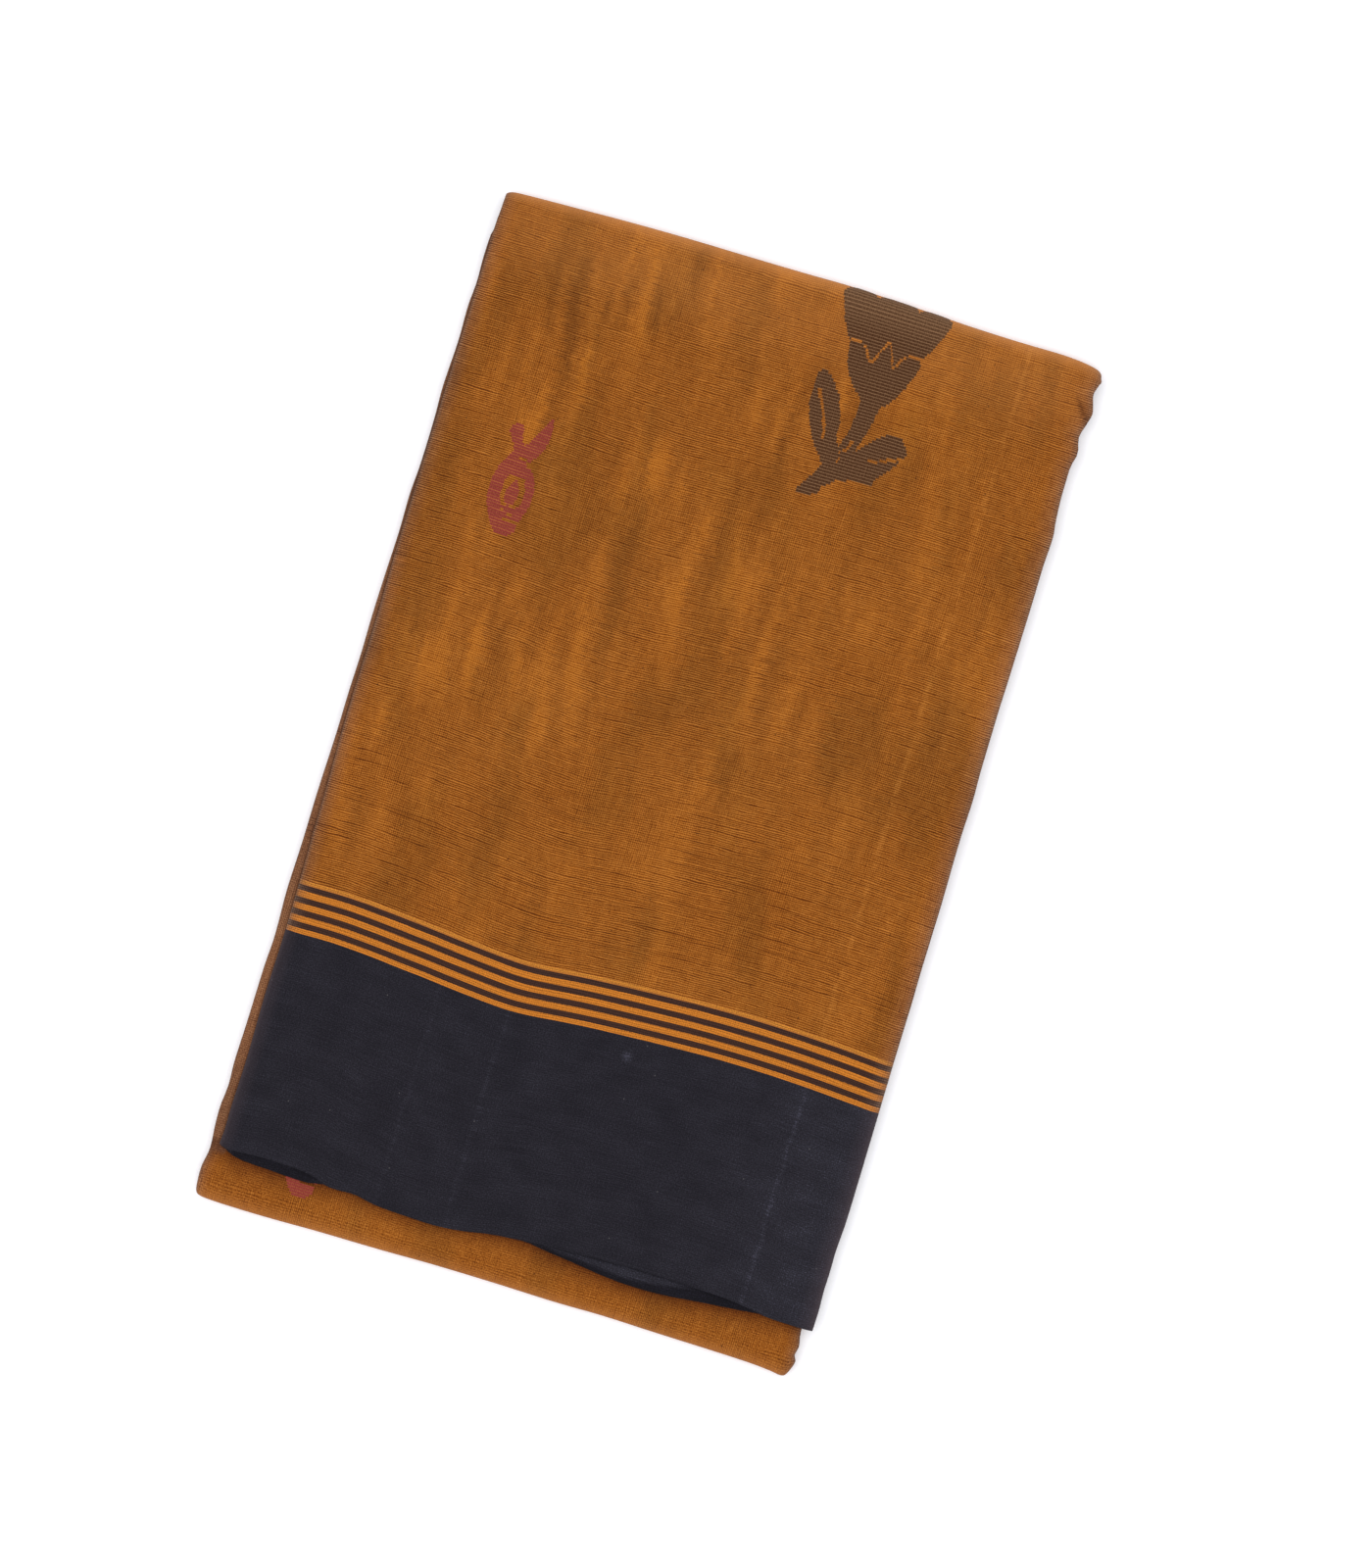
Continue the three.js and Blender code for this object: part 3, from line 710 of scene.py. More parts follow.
FLOWER_OPEN = [
    # Petal outlines between the bloom and the cup: two nested zigzags.
    [(35, 267.4), (42, 266.8), (45.2, 264.2), (46.8, 260.4), (49.0, 257.6), (49.7, 258.4),
     (47.7, 261.0), (46.0, 265.0), (42.6, 267.8), (35, 268.6)],
    [(49.8, 258.6), (52.0, 264.6), (54.6, 270.2), (56.6, 273.4), (58.4, 270.4), (60.6, 265),
     (62.2, 259.2), (61.6, 258), (59.8, 264.4), (57.6, 269.6), (56.6, 271.4),
     (55.5, 269.4), (52.9, 263.8), (50.6, 257.8)],
    [(62.6, 257.6), (64.6, 260.4), (66.6, 264.6), (69.2, 267.0), (77.6, 268), (77.6, 269.2),
     (68.9, 268.0), (65.7, 265.3), (63.4, 260.8)],
    # The left leaf's vein, and the slit between leaf and stem.
    [(25.2, 237), (26.8, 237), (29.8, 231.6), (33, 225), (35.4, 219), (37, 212),
     (36.8, 209), (35.6, 209), (34.8, 214), (32.8, 220.6), (30, 227.4), (27, 233)],
    [(44.6, 219), (46.2, 219), (46.6, 212), (45.8, 208.6), (44.2, 208.6), (44.2, 213)],
    # The right leaf's vein, and the slit beside the stem.
    [(64, 205.4), (70, 205.6), (70.4, 207.6), (75, 209), (82.6, 211.6), (82.6, 209.8),
     (76, 207.4), (71.4, 205.2), (64.2, 203.8)],
    [(47.2, 204.4), (50, 205.6), (52.6, 209), (54.2, 213), (51.8, 213), (50.6, 209),
     (48.4, 206), (47, 205.8)],
    [(47.2, 199.4), (48.6, 199.6), (49.6, 202.6), (48.2, 202.6)],
]
BUTA_FILLED = [
    [(-123.6, 105.4), (-117.0, 105.4), (-113.0, 109.5), (-112.4, 115.6), (-109.6, 121.6),
     (-108.5, 128.1), (-109.1, 135.9), (-110.7, 141.0), (-113.3, 144.4), (-116.8, 146.4),
     (-114.4, 150.8), (-111.8, 154.5), (-109.6, 158.4), (-108.7, 164.8), (-108.8, 171.2),
     (-110.4, 177.2), (-112.6, 171.9), (-115.9, 165.4), (-118.4, 160.3), (-121.0, 157.0),
     (-123.2, 159.0), (-123.9, 163.5), (-124.9, 167.4), (-126.8, 169.2), (-130.6, 166.1),
     (-131.9, 162.2), (-129.7, 159.0), (-127.4, 155.8), (-126.6, 151.9), (-129.4, 147.4),
     (-131.9, 141.6), (-133.5, 134.6), (-133.9, 126.2), (-132.6, 119.8), (-130.0, 114.6),
     (-126.8, 108.9)],
]
BUTA_OPEN = [
    [(-123.6, 121.1), (-116.5, 121.1), (-113.9, 124.3), (-113.3, 131.4), (-115.9, 139.4),
     (-124.2, 139.1), (-125.8, 135.9), (-126.8, 132.6), (-126.8, 124.9)],
    [(-123.0, 150.4), (-121.0, 150.4), (-114.4, 148.6), (-114.4, 147.2), (-122.4, 148.6)],
    [(-124.0, 119.2), (-116.6, 118.4), (-116.6, 117.0), (-123.4, 117.8)],
    [(-121.4, 114.2), (-113.6, 114.2), (-113.6, 112.6), (-120.6, 112.6)],
]
BUTA_HEART = [
    [(-121.6, 121.9), (-118.4, 122.4), (-116.5, 128.1), (-117.1, 132.6), (-118.8, 136.5),
     (-120.4, 137.3), (-122.9, 132.6), (-124.2, 128.8), (-123.6, 124.3)],
]


def spans_inside(outline, v):
    """Where a row crosses a closed outline, as (from x, to x) pairs."""
    crossings = []
    for (x0, v0), (x1, v1) in zip(outline, outline[1:] + outline[:1]):
        if (v0 <= v) != (v1 <= v):
            crossings.append(x0 + (x1 - x0) * (v - v0) / (v1 - v0))
    crossings.sort()
    return list(zip(crossings[::2], crossings[1::2]))


def without(spans, holes):
    """The spans less the holes."""
    for hole_low, hole_high in holes:
        kept = []
        for low, high in spans:
            if hole_high <= low or hole_low >= high:
                kept.append((low, high))
                continue
            if hole_low > low:
                kept.append((low, hole_low))
            if hole_high < high:
                kept.append((hole_high, high))
        spans = kept
    return spans


def merged(spans):
    joined = []
    for low, high in sorted(spans):
        if joined and low <= joined[-1][1]:
            joined[-1] = (joined[-1][0], max(joined[-1][1], high))
        else:
            joined.append((low, high))
    return joined


# A rib of extra weft from side to side, as share of its width and height.
RIB_PROFILE = [(0.0, 0.03), (0.18, 0.14), (0.5, 0.2), (0.82, 0.14), (1.0, 0.03)]
RIB_LENGTH = 2.4


def woven_motif(name, filled, opened, heart, pitch, cover, step, place):
    """Rows of extra weft laid on the cloth, a rounded rib to each row. cover is how
    much of the row's pitch its rib takes up."""
    corners = [v for outline in filled for _, v in outline]
    profile = [(0.5 + (share - 0.5) * cover, height) for share, height in RIB_PROFILE]
    points, uvs, faces = [], [], []
    v = min(corners)
    while v < max(corners):
        middle = v + pitch / 2
        spans = merged([s for outline in filled for s in spans_inside(outline, middle)])
        spans = without(spans, [s for outline in opened for s in spans_inside(outline, middle)])
        spans += [s for outline in heart for s in spans_inside(outline, middle)]
        for low, high in spans:
            low, high = round(low / step) * step, round(high / step) * step
            if high - low < step:
                continue
            low += 0.25 * noise.noise(Vector((low, v, 0.5)))
            high += 0.25 * noise.noise(Vector((high, v, 4.5)))
            lengths = max(2, math.ceil((high - low) / RIB_LENGTH))
            for k in range(lengths + 1):
                x = low + (high - low) * k / lengths
                ends = 0.25 if k in (0, lengths) else 1.0
                for share, height in profile:
                    row_v = v + share * pitch
                    points.append(place(x, row_v, height * ends))
                    uvs.append((x, row_v))
            first = len(points) - (lengths + 1) * len(profile)
            for k in range(lengths):
                for part in range(len(profile) - 1):
                    a = first + k * len(profile) + part
                    b = a + len(profile)
                    faces.append((a, b, b + 1, a + 1))
        v += pitch
    return cloth_mesh(name, points, uvs, faces)


# Materials.


def srgb(value):
    """A linear colour from a hex one."""
    channels = [int(value[k:k + 2], 16) / 255 for k in (1, 3, 5)]
    linear = [c / 12.92 if c <= 0.04045 else ((c + 0.055) / 1.055) ** 2.4 for c in channels]
    return linear + [1.0]


def add_node(tree, kind, inputs=None, stops=(), **settings):
    """Adds a node with its settings, its ramp stops and its inputs. An input is a
    number, a hex colour, a node, whose first output in use is linked, or a socket."""
    node = tree.nodes.new("ShaderNode" + kind)
    for name, value in settings.items():
        setattr(node, name, value)
    for number, (place, colour) in enumerate(stops):
        elements = node.color_ramp.elements
        if 0 < number < len(stops) - 1:
            element = elements.new(place)
        else:
            element = elements[-1 if number else 0]
            element.position = place
        element.color = srgb(colour)
    for key, value in (inputs or {}).items():
        if isinstance(value, bpy.types.Node):
            value = next(output for output in value.outputs if output.enabled)
        if isinstance(value, bpy.types.NodeSocket):
            tree.links.new(value, node.inputs[key])
        else:
            node.inputs[key].default_value = srgb(value) if isinstance(value, str) else value
    return node


def new_material(name):
    """A material with an empty node tree, and add_node for that tree."""
    material = bpy.data.materials.new(name)
    material.use_nodes = True
    material.node_tree.nodes.clear()
    return material, partial(add_node, material.node_tree)


def sized(across, along, place=(0, 0, 0)):
    """Mapping inputs that make a noise's patches so many millimetres across and along."""
    return {"Scale": (1 / (across * MM), 1 / (along * MM), 1.0), "Location": place}


# The real threads are about 0.4 mm apart, too fine to show, so they are drawn as the
# ribs that the eye takes from them: 1.2 mm along the cloth and 1.05 mm across it.
WEFT_PITCH = 1.2
WARP_PITCH = 1.05
GRAIN = (0.9, 0.65)
# How many pitches a rib wanders to a side.
RIB_SWAY = 1.1
# Lines that older folds have pressed in: x, how far each spreads to a side, and how
# strong it is.
BORDER_LINES = [(133.6, 2.2, 0.17), (-37.5, 2.6, 0.12), (-78.0, 2.0, 0.1)]
FIELD_LINES = [(133.6, 2.6, 0.12)]
# How far such a line strays to a side.
PRESSED_SHIFT = 1.75
STRIPE_COLOURS = {"black": "#3b261f", "orange": "#ba6f24"}
# The bright line's threads, each from its upper edge down.
BRIGHT_LINE_COLOURS = [
    (0.0, "#a8652a"), (0.3, "#c9842f"), (0.8, "#a05f24"), (1.3, "#c27d2f"), (1.9, "#a8652a"),
]


def cotton_weave(add):
    """What all of the saree's cotton shares: its weft and warp ribs, which wander, the
    uneven strength of each weft rib, and the grain of the spun yarn."""
    uv = add("UVMap", uv_map="cloth")
    split = add("SeparateXYZ", {0: uv})
    u, v = split.outputs[0], split.outputs[1]
    sway, drift, spun = [
        add("TexNoise", {
            0: add("Mapping", {0: uv, **sized(*size)}), "Scale": 1.0, "Detail": detail,
        }, noise_dimensions="2D")
        for size, detail in [((17, 3), 1.0), ((2.4, 20), 1.0), (GRAIN, 2.0)]
    ]
    ribs = []
    for along, pitch, wandering in [(v, WEFT_PITCH, sway), (u, WARP_PITCH, drift)]:
        wandered = add("Math", {0: wandering, 1: RIB_SWAY}, operation="MULTIPLY")
        count = add("Math", {
            0: along, 1: 1 / (pitch * MM), 2: wandered,
        }, operation="MULTIPLY_ADD")
        turned = add("Math", {0: count, 1: 2 * math.pi}, operation="MULTIPLY")
        ribs.append((count, add("Math", {0: turned}, operation="COSINE")))
    (rows, weft), (_, warp) = ribs
    # Each weft rib reads its own line of a noise whose patches are 70 mm long.
    row = add("Math", {0: rows}, operation="FLOOR")
    rib = add("CombineXYZ", {
        0: add("Math", {0: u, 1: 1 / (70 * MM)}, operation="MULTIPLY"),
        1: add("Math", {0: row, 1: 0.83}, operation="MULTIPLY"),
    })
    strength = add("TexNoise", {0: rib, "Scale": 1.0, "Detail": 1.0}, noise_dimensions="2D")
    thread = add("Math", {0: strength, 1: 0.5}, operation="SUBTRACT")
    grain = add("Math", {0: spun, 1: 0.5}, operation="SUBTRACT")
    return uv, u, v, weft, warp, thread, grain


def pressed_lines(add, uv, u, uneven, lines):
    """How pale the dye has worn in places along the lines that are pressed in."""
    placed = add("Mapping", {0: uv, **sized(60, 14)})
    sway = add("TexNoise", {0: placed, "Scale": 1.0}, noise_dimensions="2D")
    patchy = add("MapRange", {0: uneven, 1: 0.35, 2: 0.7, 3: 0.3, 4: 1.4})
    total = 0.0
    for at, spread, strength in lines:
        line = add("Math", {
            0: sway, 1: 2 * PRESSED_SHIFT * MM, 2: (at - PRESSED_SHIFT) * MM,
        }, operation="MULTIPLY_ADD")
        offset = add("Math", {0: u, 1: line}, operation="SUBTRACT")
        aside = add("Math", {0: offset}, operation="ABSOLUTE")
        pressed = add("MapRange", {
            0: aside, 1: spread * MM, 2: 0.0, 3: 0.0, 4: strength,
        }, interpolation_type="SMOOTHSTEP")
        total = add("Math", {0: pressed, 1: patchy, 2: total}, operation="MULTIPLY_ADD")
    return total


def finish_cotton(add, colour, weft, warp, grain, roughness, rib_height):
    """Dry, matt cotton: no gloss, a trace of fuzz at glancing angles, and low ribs."""
    height = 0.0
    for part, share in [(warp, 0.25), (weft, 0.5), (grain, 1.4)]:
        height = add("Math", {0: part, 1: share, 2: height}, operation="MULTIPLY_ADD")
    bump = add("Bump", {"Strength": 0.55, "Distance": rib_height * MM, "Height": height})
    shader = add("BsdfPrincipled", {
        "Base Color": colour, "Roughness": roughness, "IOR": 1.5, "Specular IOR Level": 0.12,
        "Sheen Weight": 0.05, "Sheen Roughness": 0.45, "Normal": bump,
    })
    add("OutputMaterial", {0: shader})


def woven_stripes(add, field, v, weft, warp, grain):
    """The field's colour with the stripes and the bright line above them laid over it.
    Their fuller thread shows its ribs more than the field's."""
    whole = STRIPES_END + BRIGHT_LINE
    top = add("Math", {
        0: grain, 1: 0.3 * MM, 2: (STRIPE_V + BRIGHT_LINE) * MM,
    }, operation="MULTIPLY_ADD")
    down = add("Math", {0: top, 1: v}, operation="SUBTRACT")
    below = add("Math", {0: down, 1: whole * MM}, operation="DIVIDE")
    bands = [(at + BRIGHT_LINE, STRIPE_COLOURS[which]) for at, which in STRIPES]
    bands = BRIGHT_LINE_COLOURS + bands
    stops = [(at / whole, colour) for at, colour in bands] + [(1.0, STRIPE_COLOURS["orange"])]
    stripes = add("ValToRGB", {0: below}, stops)
    stripes.color_ramp.interpolation = "CONSTANT"
    shine = 0.97
    for part, share in [(weft, 0.26), (warp, 0.13), (grain, 0.95)]:
        shine = add("Math", {0: part, 1: share, 2: shine}, operation="MULTIPLY_ADD")
    stripes = add("VectorMath", {0: stripes, 3: shine}, operation="SCALE")
    in_band = add("Math", {0: below, 1: 0.0}, operation="GREATER_THAN")
    return add("Mix", {0: in_band, 6: field, 7: stripes}, data_type="RGBA")


def shot_cotton(name, striped, streakiness):
    """Handloom cotton shot with two colours, an orange warp and a brown weft. The eye
    sees thin dark lines across, and long soft streaks where the warp's dye took better."""
    material, add = new_material(name)
    uv, u, v, weft, warp, thread, grain = cotton_weave(add)

    # Streaks of dye, 8 to 16 mm wide and 40 to 80 mm long, lean a little. Each rib of
    # weft hides a little more or less of a streak, so its sides are feathered.
    placed = add("Mapping", {0: uv, **sized(110, 70)})
    wander = add("TexNoise", {0: placed, "Scale": 1.0, "Detail": 1.0}, noise_dimensions="2D")
    aside = add("Math", {0: wander, 1: 0.006}, operation="MULTIPLY")
    for part, share in [(v, 0.04), (thread, 0.009)]:
        aside = add("Math", {0: part, 1: share, 2: aside}, operation="MULTIPLY_ADD")
    leaning = add("CombineXYZ", {0: add("Math", {0: u, 1: aside}, operation="ADD"), 1: v})
    dye, patch, flat, mottle, olive = [
        add("TexNoise", {
            0: add("Mapping", {0: on, **sized(across, along, place)}),
            "Scale": 1.0, "Detail": detail,
        }, noise_dimensions="2D")
        for on, across, along, place, detail in [
            (leaning, 12, 68, (5, 5, 0), 2.0),
            (uv, 65, 80, (9, 9, 0), 2.0),
            (uv, 50, 60, (7, 7, 0), 1.0),
            (uv, 4.5, 6.5, (4, 4, 0), 3.0),
            (leaning, 34, 95, (12, 3, 0), 2.0),
        ]
    ]
    # Where the dye is bright and dull, and broad patches where the brown weft shows
    # more, and the cloth reads olive.
    bright, dull, olive = [
        add("MapRange", {
            0: pattern, 1: low, 2: high, 3: 0.0, 4: most,
        }, interpolation_type="SMOOTHSTEP")
        for pattern, low, high, most in [
            (dye, 0.5, 0.72, 1.0), (dye, 0.56, 0.22, 1.0), (olive, 0.45, 0.72, 0.5),
        ]
    ]
    # Streaks are plainest at the upper left and fade to the right and downwards.
    streaky = add("MapRange", {0: patch, 1: 0.36, 2: 0.62, 3: 0.25, 4: 1.2})
    leftward = add("MapRange", {0: u, 1: 0.14, 2: -0.12, 3: 0.55, 4: 1.25})
    upward = add("MapRange", {
        0: v, 1: -0.12, 2: 0.2, 3: 0.45 * streakiness, 4: 1.1 * streakiness,
    })
    for fade in (leftward, upward):
        streaky = add("Math", {0: streaky, 1: fade}, operation="MULTIPLY")
    bright = add("Math", {0: bright, 1: streaky}, operation="MULTIPLY")
    dull = add("Math", {0: dull, 1: streaky}, operation="MULTIPLY")

    # The crossing ribs show where the weave lies flat and square to the light.
    square = add("MapRange", {0: flat, 1: 0.47, 2: 0.74, 3: 0.0, 4: 1.0})
    weft_share = add("Math", {0: thread, 1: 0.32, 2: 0.38}, operation="MULTIPLY_ADD")
    weft_share = add("Math", {0: square, 1: -0.13, 2: weft_share}, operation="MULTIPLY_ADD")
    weft_share = add("Math", {0: weft_share, 1: 1.0 if striped else 0.4}, operation="MULTIPLY")
    warp_share = add("Math", {
        0: square, 1: 0.17, 2: 0.05 if striped else 0.08,
    }, operation="MULTIPLY_ADD")
    # Where darker weft ribs lie close together, by distance along the cloth.
    along = add("Math", {0: v, 1: 1 / 0.6, 2: 0.5}, operation="MULTIPLY_ADD")
    slubby = add("ValToRGB", {0: along}, [
        (0.0, "#303030"), (0.30, "#404040"), (0.36, "#e8e8e8"), (0.44, "#c8c8c8"),
        (0.50, "#606060"), (0.60, "#606060"), (0.63, "#b0b0b0"), (0.66, "#606060"),
        (0.78, "#606060"), (0.80, "#a0a0a0"), (0.83, "#505050"), (1.0, "#303030"),
    ])
    dark_rib = add("Math", {0: thread, 1: 0.07}, operation="SUBTRACT")
    dark_rib = add("Math", {0: dark_rib, 1: 0.0}, operation="MAXIMUM")
    dark_rib = add("Math", {0: dark_rib, 1: slubby}, operation="MULTIPLY")

    # The tint attribute holds how grey the cloth is from wear and painted edge shade, and
    # how much a painted highlight lightens it and painted shade darkens it, at folds and hems.
    tint = add("SeparateColor", {0: add("Attribute", attribute_name="tint")})
    grey_wear_and_painted_shade, pale, shaded = tint.outputs[0], tint.outputs[1], tint.outputs[2]
    # The painted highlight round the folds also raises the tone.
    tone = 0.22
    for part, share in [
        (weft, weft_share), (warp, warp_share), (grain, 0.82 if striped else 1.2),
        (mottle, 0.3), (patch, 0.22), (bright, 0.16), (dark_rib, -1.5),
        (pressed_lines(add, uv, u, mottle, FIELD_LINES), 1.0), (pale, 0.25),
    ]:
        tone = add("Math", {0: part, 1: share, 2: tone}, operation="MULTIPLY_ADD")
    colour = add("ValToRGB", {0: tone}, [
        (0.0, "#552602"), (0.25, "#783e0a"), (0.5, "#915216"), (0.75, "#a66423"),
        (1.0, "#bb7833"),
    ])
    # Small dark knots in the yarn, 0.8 mm across.
    placed = add("Mapping", {0: uv, **sized(34, 34, (2, 3, 0))})
    knots = add("TexVoronoi", {0: placed, "Scale": 1.0}, voronoi_dimensions="2D")
    knot = add("MapRange", {0: knots, 1: 0.017, 2: 0.009, 3: 0.0, 4: 0.65})
    warm = add("Math", {0: bright, 1: 0.6}, operation="MULTIPLY")
    dull = add("Math", {0: dull, 1: 0.6}, operation="MULTIPLY")
    # Round the folds the painted highlight mixes the colour toward pale orange.
    pale = add("Math", {0: pale, 1: 0.75}, operation="MULTIPLY")
    for share, dye_colour, blend in [
        (olive, "#d5dbe0", "MULTIPLY"), (warm, "#fff6cc", "MULTIPLY"),
        (dull, "#cbc8c8", "MULTIPLY"), (pale, "#e09351", "MIX"), (knot, "#3a1c0c", "MIX"),
    ]:
        mixed = {0: share, 6: colour, 7: dye_colour}
        colour = add("Mix", mixed, data_type="RGBA", blend_type=blend)
    if striped:
        colour = woven_stripes(add, colour, v, weft, warp, grain)

    # Near folded edges the colour turns grey, partly wear and partly painted shade, and the painted
    # shade share then darkens it by multiplying.
    greyed = add("ValToRGB", {0: tone}, [(0.0, "#4c382c"), (0.5, "#75594a"), (1.0, "#a58872")])
    grey_wear_and_painted_shade = add("Math", {0: grey_wear_and_painted_shade, 1: 0.8}, operation="MULTIPLY")
    colour = add("Mix", {0: grey_wear_and_painted_shade, 6: colour, 7: greyed}, data_type="RGBA")
    colour = add("Mix", {
        0: shaded, 6: colour, 7: "#8a6d5c",
    }, data_type="RGBA", blend_type="MULTIPLY")
    finish_cotton(add, colour, weft, warp, grain, roughness=0.88, rib_height=0.16)
    return material


def border_cotton():
    """Plain handloom cotton dyed blue-black. It is matt, with a slight bloom where the
    dye has rubbed, and a few pale specks of lint."""
    material, add = new_material("Blue-black handloom cotton")
    uv, u, _, weft, warp, _, grain = cotton_weave(add)
    mottle, rubbed = [
        add("TexNoise", {
            0: add("Mapping", {0: uv, **sized(*size)}), "Scale": 1.0, "Detail": detail,
        }, noise_dimensions="2D")
        for size, detail in [((20, 13, (4, 4, 0)), 5.0), ((24, 0.9, (6, 6, 0)), 1.0)]
    ]
    rightward = add("MapRange", {0: u, 1: 0.08, 2: 0.17, 3: 0.0, 4: 0.19})
    # One small scuff below the stripes.
    from_scuff = add("VectorMath", {0: uv, 1: (0.033, -0.152, 0.0)}, operation="DISTANCE")
    scuffed = add("MapRange", {0: from_scuff, 1: 4.5 * MM, 2: 0.5 * MM, 3: 0.0, 4: 0.9})
    tone = 0.13
    for part, share in [
        (grain, 1.1), (mottle, 0.36), (rubbed, 0.22), (weft, 0.06), (warp, 0.05),
        (rightward, 1.0), (pressed_lines(add, uv, u, rubbed, BORDER_LINES), 1.0),
        (scuffed, rubbed),
    ]:
        tone = add("Math", {0: part, 1: share, 2: tone}, operation="MULTIPLY_ADD")
    colour = add("ValToRGB", {0: tone}, [
        (0.0, "#141318"), (0.35, "#1e1c23"), (0.55, "#26242b"), (0.8, "#302f38"),
        (1.0, "#464452"),
    ])
    placed = add("Mapping", {0: uv, **sized(46, 58, (8, 1, 0))})
    lint = add("TexVoronoi", {0: placed, "Scale": 1.0}, voronoi_dimensions="2D")
    speck = add("MapRange", {0: lint, 1: 0.009, 2: 0.004, 3: 0.0, 4: 0.4})
    # The tint attribute greys the border near its edges, partly wear and partly painted shade, and
    # its third share darkens it with painted shade under the hems.
    tint = add("SeparateColor", {0: add("Attribute", attribute_name="tint")})
    grey_wear_and_painted_shade = add("Math", {0: tint, 1: 0.45}, operation="MULTIPLY")
    for share, dye_colour, blend in [
        (speck, "#74706f", "MIX"), (grey_wear_and_painted_shade, "#625256", "MIX"),
        (tint.outputs[2], "#a09ca3", "MULTIPLY"),
    ]:
        mixed = {0: share, 6: colour, 7: dye_colour}
        colour = add("Mix", mixed, data_type="RGBA", blend_type=blend)
    finish_cotton(add, colour, weft, warp, grain, roughness=0.92, rib_height=0.12)
    return material


def motif_thread(name, dark, light, pitch, start):
    """Soft, untwisted extra-weft cotton in thick rows. Each row reads dark, with a thin
    light line between it and the next, and small beads where the warp ties it down. It
    is painted paler round the top fold, a painted highlight where the fold faces the light."""
    material, add = new_material(name)
    _, _, v, weft, warp, _, grain = cotton_weave(add)
    row = add("Math", {
        0: v, 1: 2 * math.pi / (pitch * MM), 2: -2 * math.pi * start / pitch,
    }, operation="MULTIPLY_ADD")
    between = add("Math", {0: row}, operation="COSINE")
    between = add("Math", {0: between, 1: 0.5, 2: 0.5}, operation="MULTIPLY_ADD")
    between = add("Math", {0: between, 1: 4.0}, operation="POWER")
    # Painted highlight: the thread is painted paler from v 274 mm to 296 mm, round the top fold.
    tone = add("MapRange", {0: v, 1: 0.274, 2: 0.296, 3: 0.05, 4: 0.38})
    for part, share in [(between, 0.66), (warp, 0.09), (grain, 0.9)]:
        tone = add("Math", {0: part, 1: share, 2: tone}, operation="MULTIPLY_ADD")
    colour = add("ValToRGB", {0: tone}, [(0.0, dark), (1.0, light)])
    finish_cotton(add, colour, weft, warp, grain, roughness=0.9, rib_height=0.1)
    return material


# Build.

flap = flap_cloth()
packet = packet_cloth()
layers = inner_layers()


# How far apart the motifs' rows of extra weft are, how much of that a row covers, the
# first row's v, how finely their sides step, and how far down the buta comes again.
FLOWER_PITCH, FLOWER_COVER, FLOWER_START = 1.8, 1.0, 177.0
BUTA_PITCH, BUTA_COVER, BUTA_START = 1.6, 0.86, 105.4
MOTIF_STEP = 0.8
BUTA_ON_TURN = -385.7


def on_flap(x, v, height):
    return flap_point("outer", x, v, -height)


def on_turn(x, v, height):
    return packet_point(x, BUTA_ON_TURN + v, -height)


flower = woven_motif(
    "flower", FLOWER_FILLED, FLOWER_OPEN, [], FLOWER_PITCH, FLOWER_COVER, MOTIF_STEP, on_flap)
buta, turn_buta = [
    woven_motif(name, BUTA_FILLED, BUTA_OPEN, BUTA_HEART, BUTA_PITCH, BUTA_COVER, MOTIF_STEP, place)
    for name, place in [("buta", on_flap), ("turn_buta", on_turn)]
]

field = shot_cotton("Shot handloom cotton with woven stripes", True, 1.0)
plain = shot_cotton("Shot handloom cotton", False, 0.3)
border = border_cotton()
flower_thread = motif_thread(
    "Dark brown extra-weft cotton", "#412410", "#8c694b", FLOWER_PITCH, FLOWER_START)
buta_thread = motif_thread(
    "Crimson extra-weft cotton", "#7e2e29", "#b8654b", BUTA_PITCH, BUTA_START)

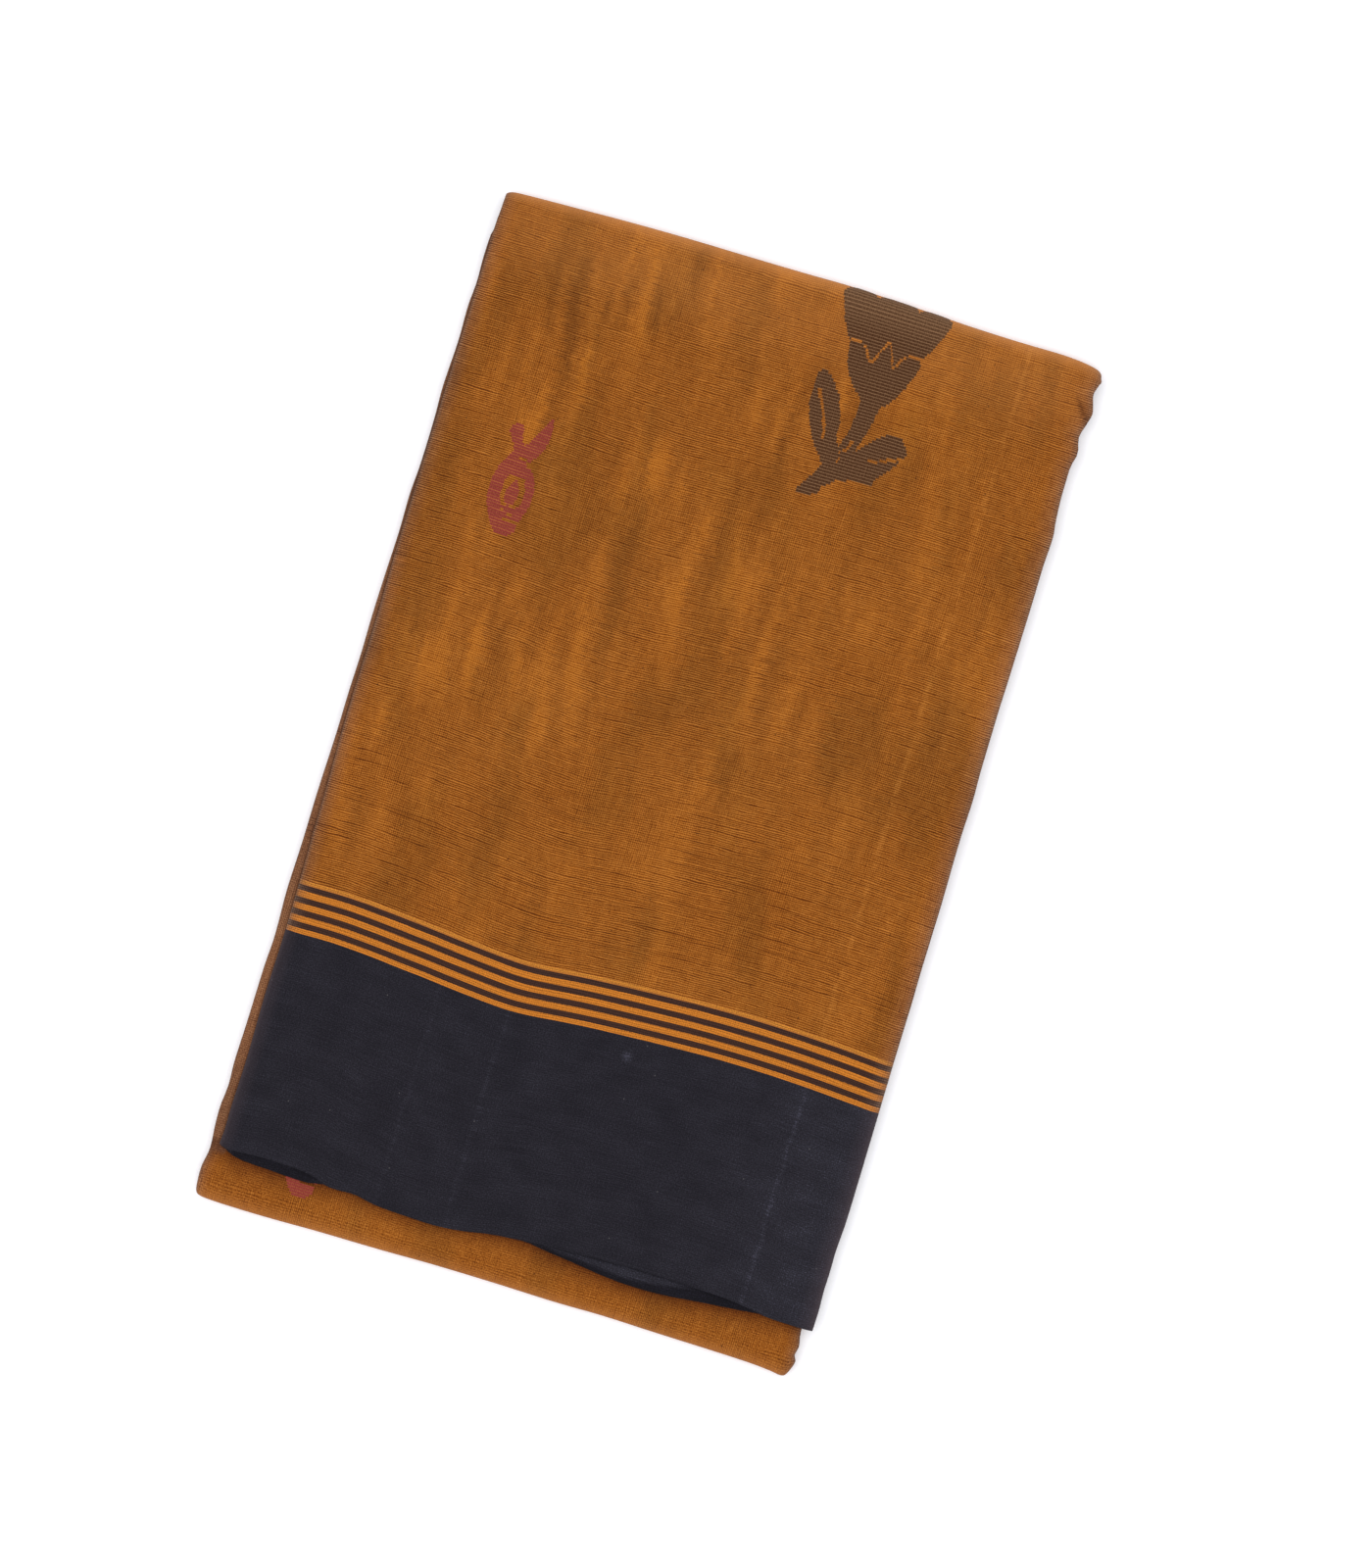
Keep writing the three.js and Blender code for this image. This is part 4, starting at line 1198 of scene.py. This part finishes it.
flap.data.materials.append(field)
flap.data.materials.append(border)
border_edge = (STRIPE_V - STRIPES_END) * MM
uv_data = flap.data.uv_layers["cloth"].data
for polygon in flap.data.polygons:
    middle = sum(uv_data[k].uv[1] for k in polygon.loop_indices) / polygon.loop_total
    polygon.material_index = 1 if middle < border_edge else 0
for piece in [packet, *layers]:
    piece.data.materials.append(plain)
flower.data.materials.append(flower_thread)
for piece in [buta, turn_buta]:
    piece.data.materials.append(buta_thread)

for piece in [flap, packet, flower, buta, turn_buta, *layers]:
    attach(piece, "root")
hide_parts("flap_outer_ply", "flap_under_ply")
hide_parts("packet_outer_ply")
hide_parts("folded_layers")

# Stage, light and camera.


def pale_floor():
    bpy.ops.mesh.primitive_plane_add(size=8)
    floor = bpy.context.object
    floor.name = "floor"
    # A backlit table of matt white acrylic, which glows a little and keeps shadows faint.
    material, add = new_material("Matt white acrylic")
    shader = add("BsdfPrincipled", {
        "Base Color": "#fbfbfe", "Roughness": 0.95, "Specular IOR Level": 0.1,
        "Emission Color": "#fbfcff", "Emission Strength": 0.12,
    })
    add("OutputMaterial", {0: shader})
    floor.data.materials.append(material)


def area_light(name, place, size, power, target=(0, 0, 0)):
    data = bpy.data.lights.new(name, "AREA")
    data.size = size
    data.energy = power
    light = bpy.data.objects.new(name, data)
    light.location = place
    aim = Vector(target) - Vector(place)
    light.rotation_euler = aim.to_track_quat("-Z", "Y").to_euler()
    bpy.context.collection.objects.link(light)


pale_floor()
area_light("overhead_softbox", (0.0, 0.0, 2.6), 2.4, 53)
area_light("left_softbox", (-1.6, -0.6, 1.9), 1.4, 6)

world = bpy.data.worlds.new("studio")
bpy.context.scene.world = world
world.use_nodes = True
world.node_tree.nodes["Background"].inputs[0].default_value = (0.97, 0.98, 1.0, 1)
world.node_tree.nodes["Background"].inputs[1].default_value = 0.48

camera_data = bpy.data.cameras.new("camera")
camera_data.lens = 85
camera_data.sensor_fit = "VERTICAL"
camera_data.sensor_height = 36
camera = bpy.data.objects.new("camera", camera_data)
camera.location = (0.01985, 0.00359, 2.081)
camera.rotation_euler = (0, 0, math.radians(17))
bpy.context.collection.objects.link(camera)
bpy.context.scene.camera = camera
bpy.context.scene.view_settings.view_transform = "Standard"
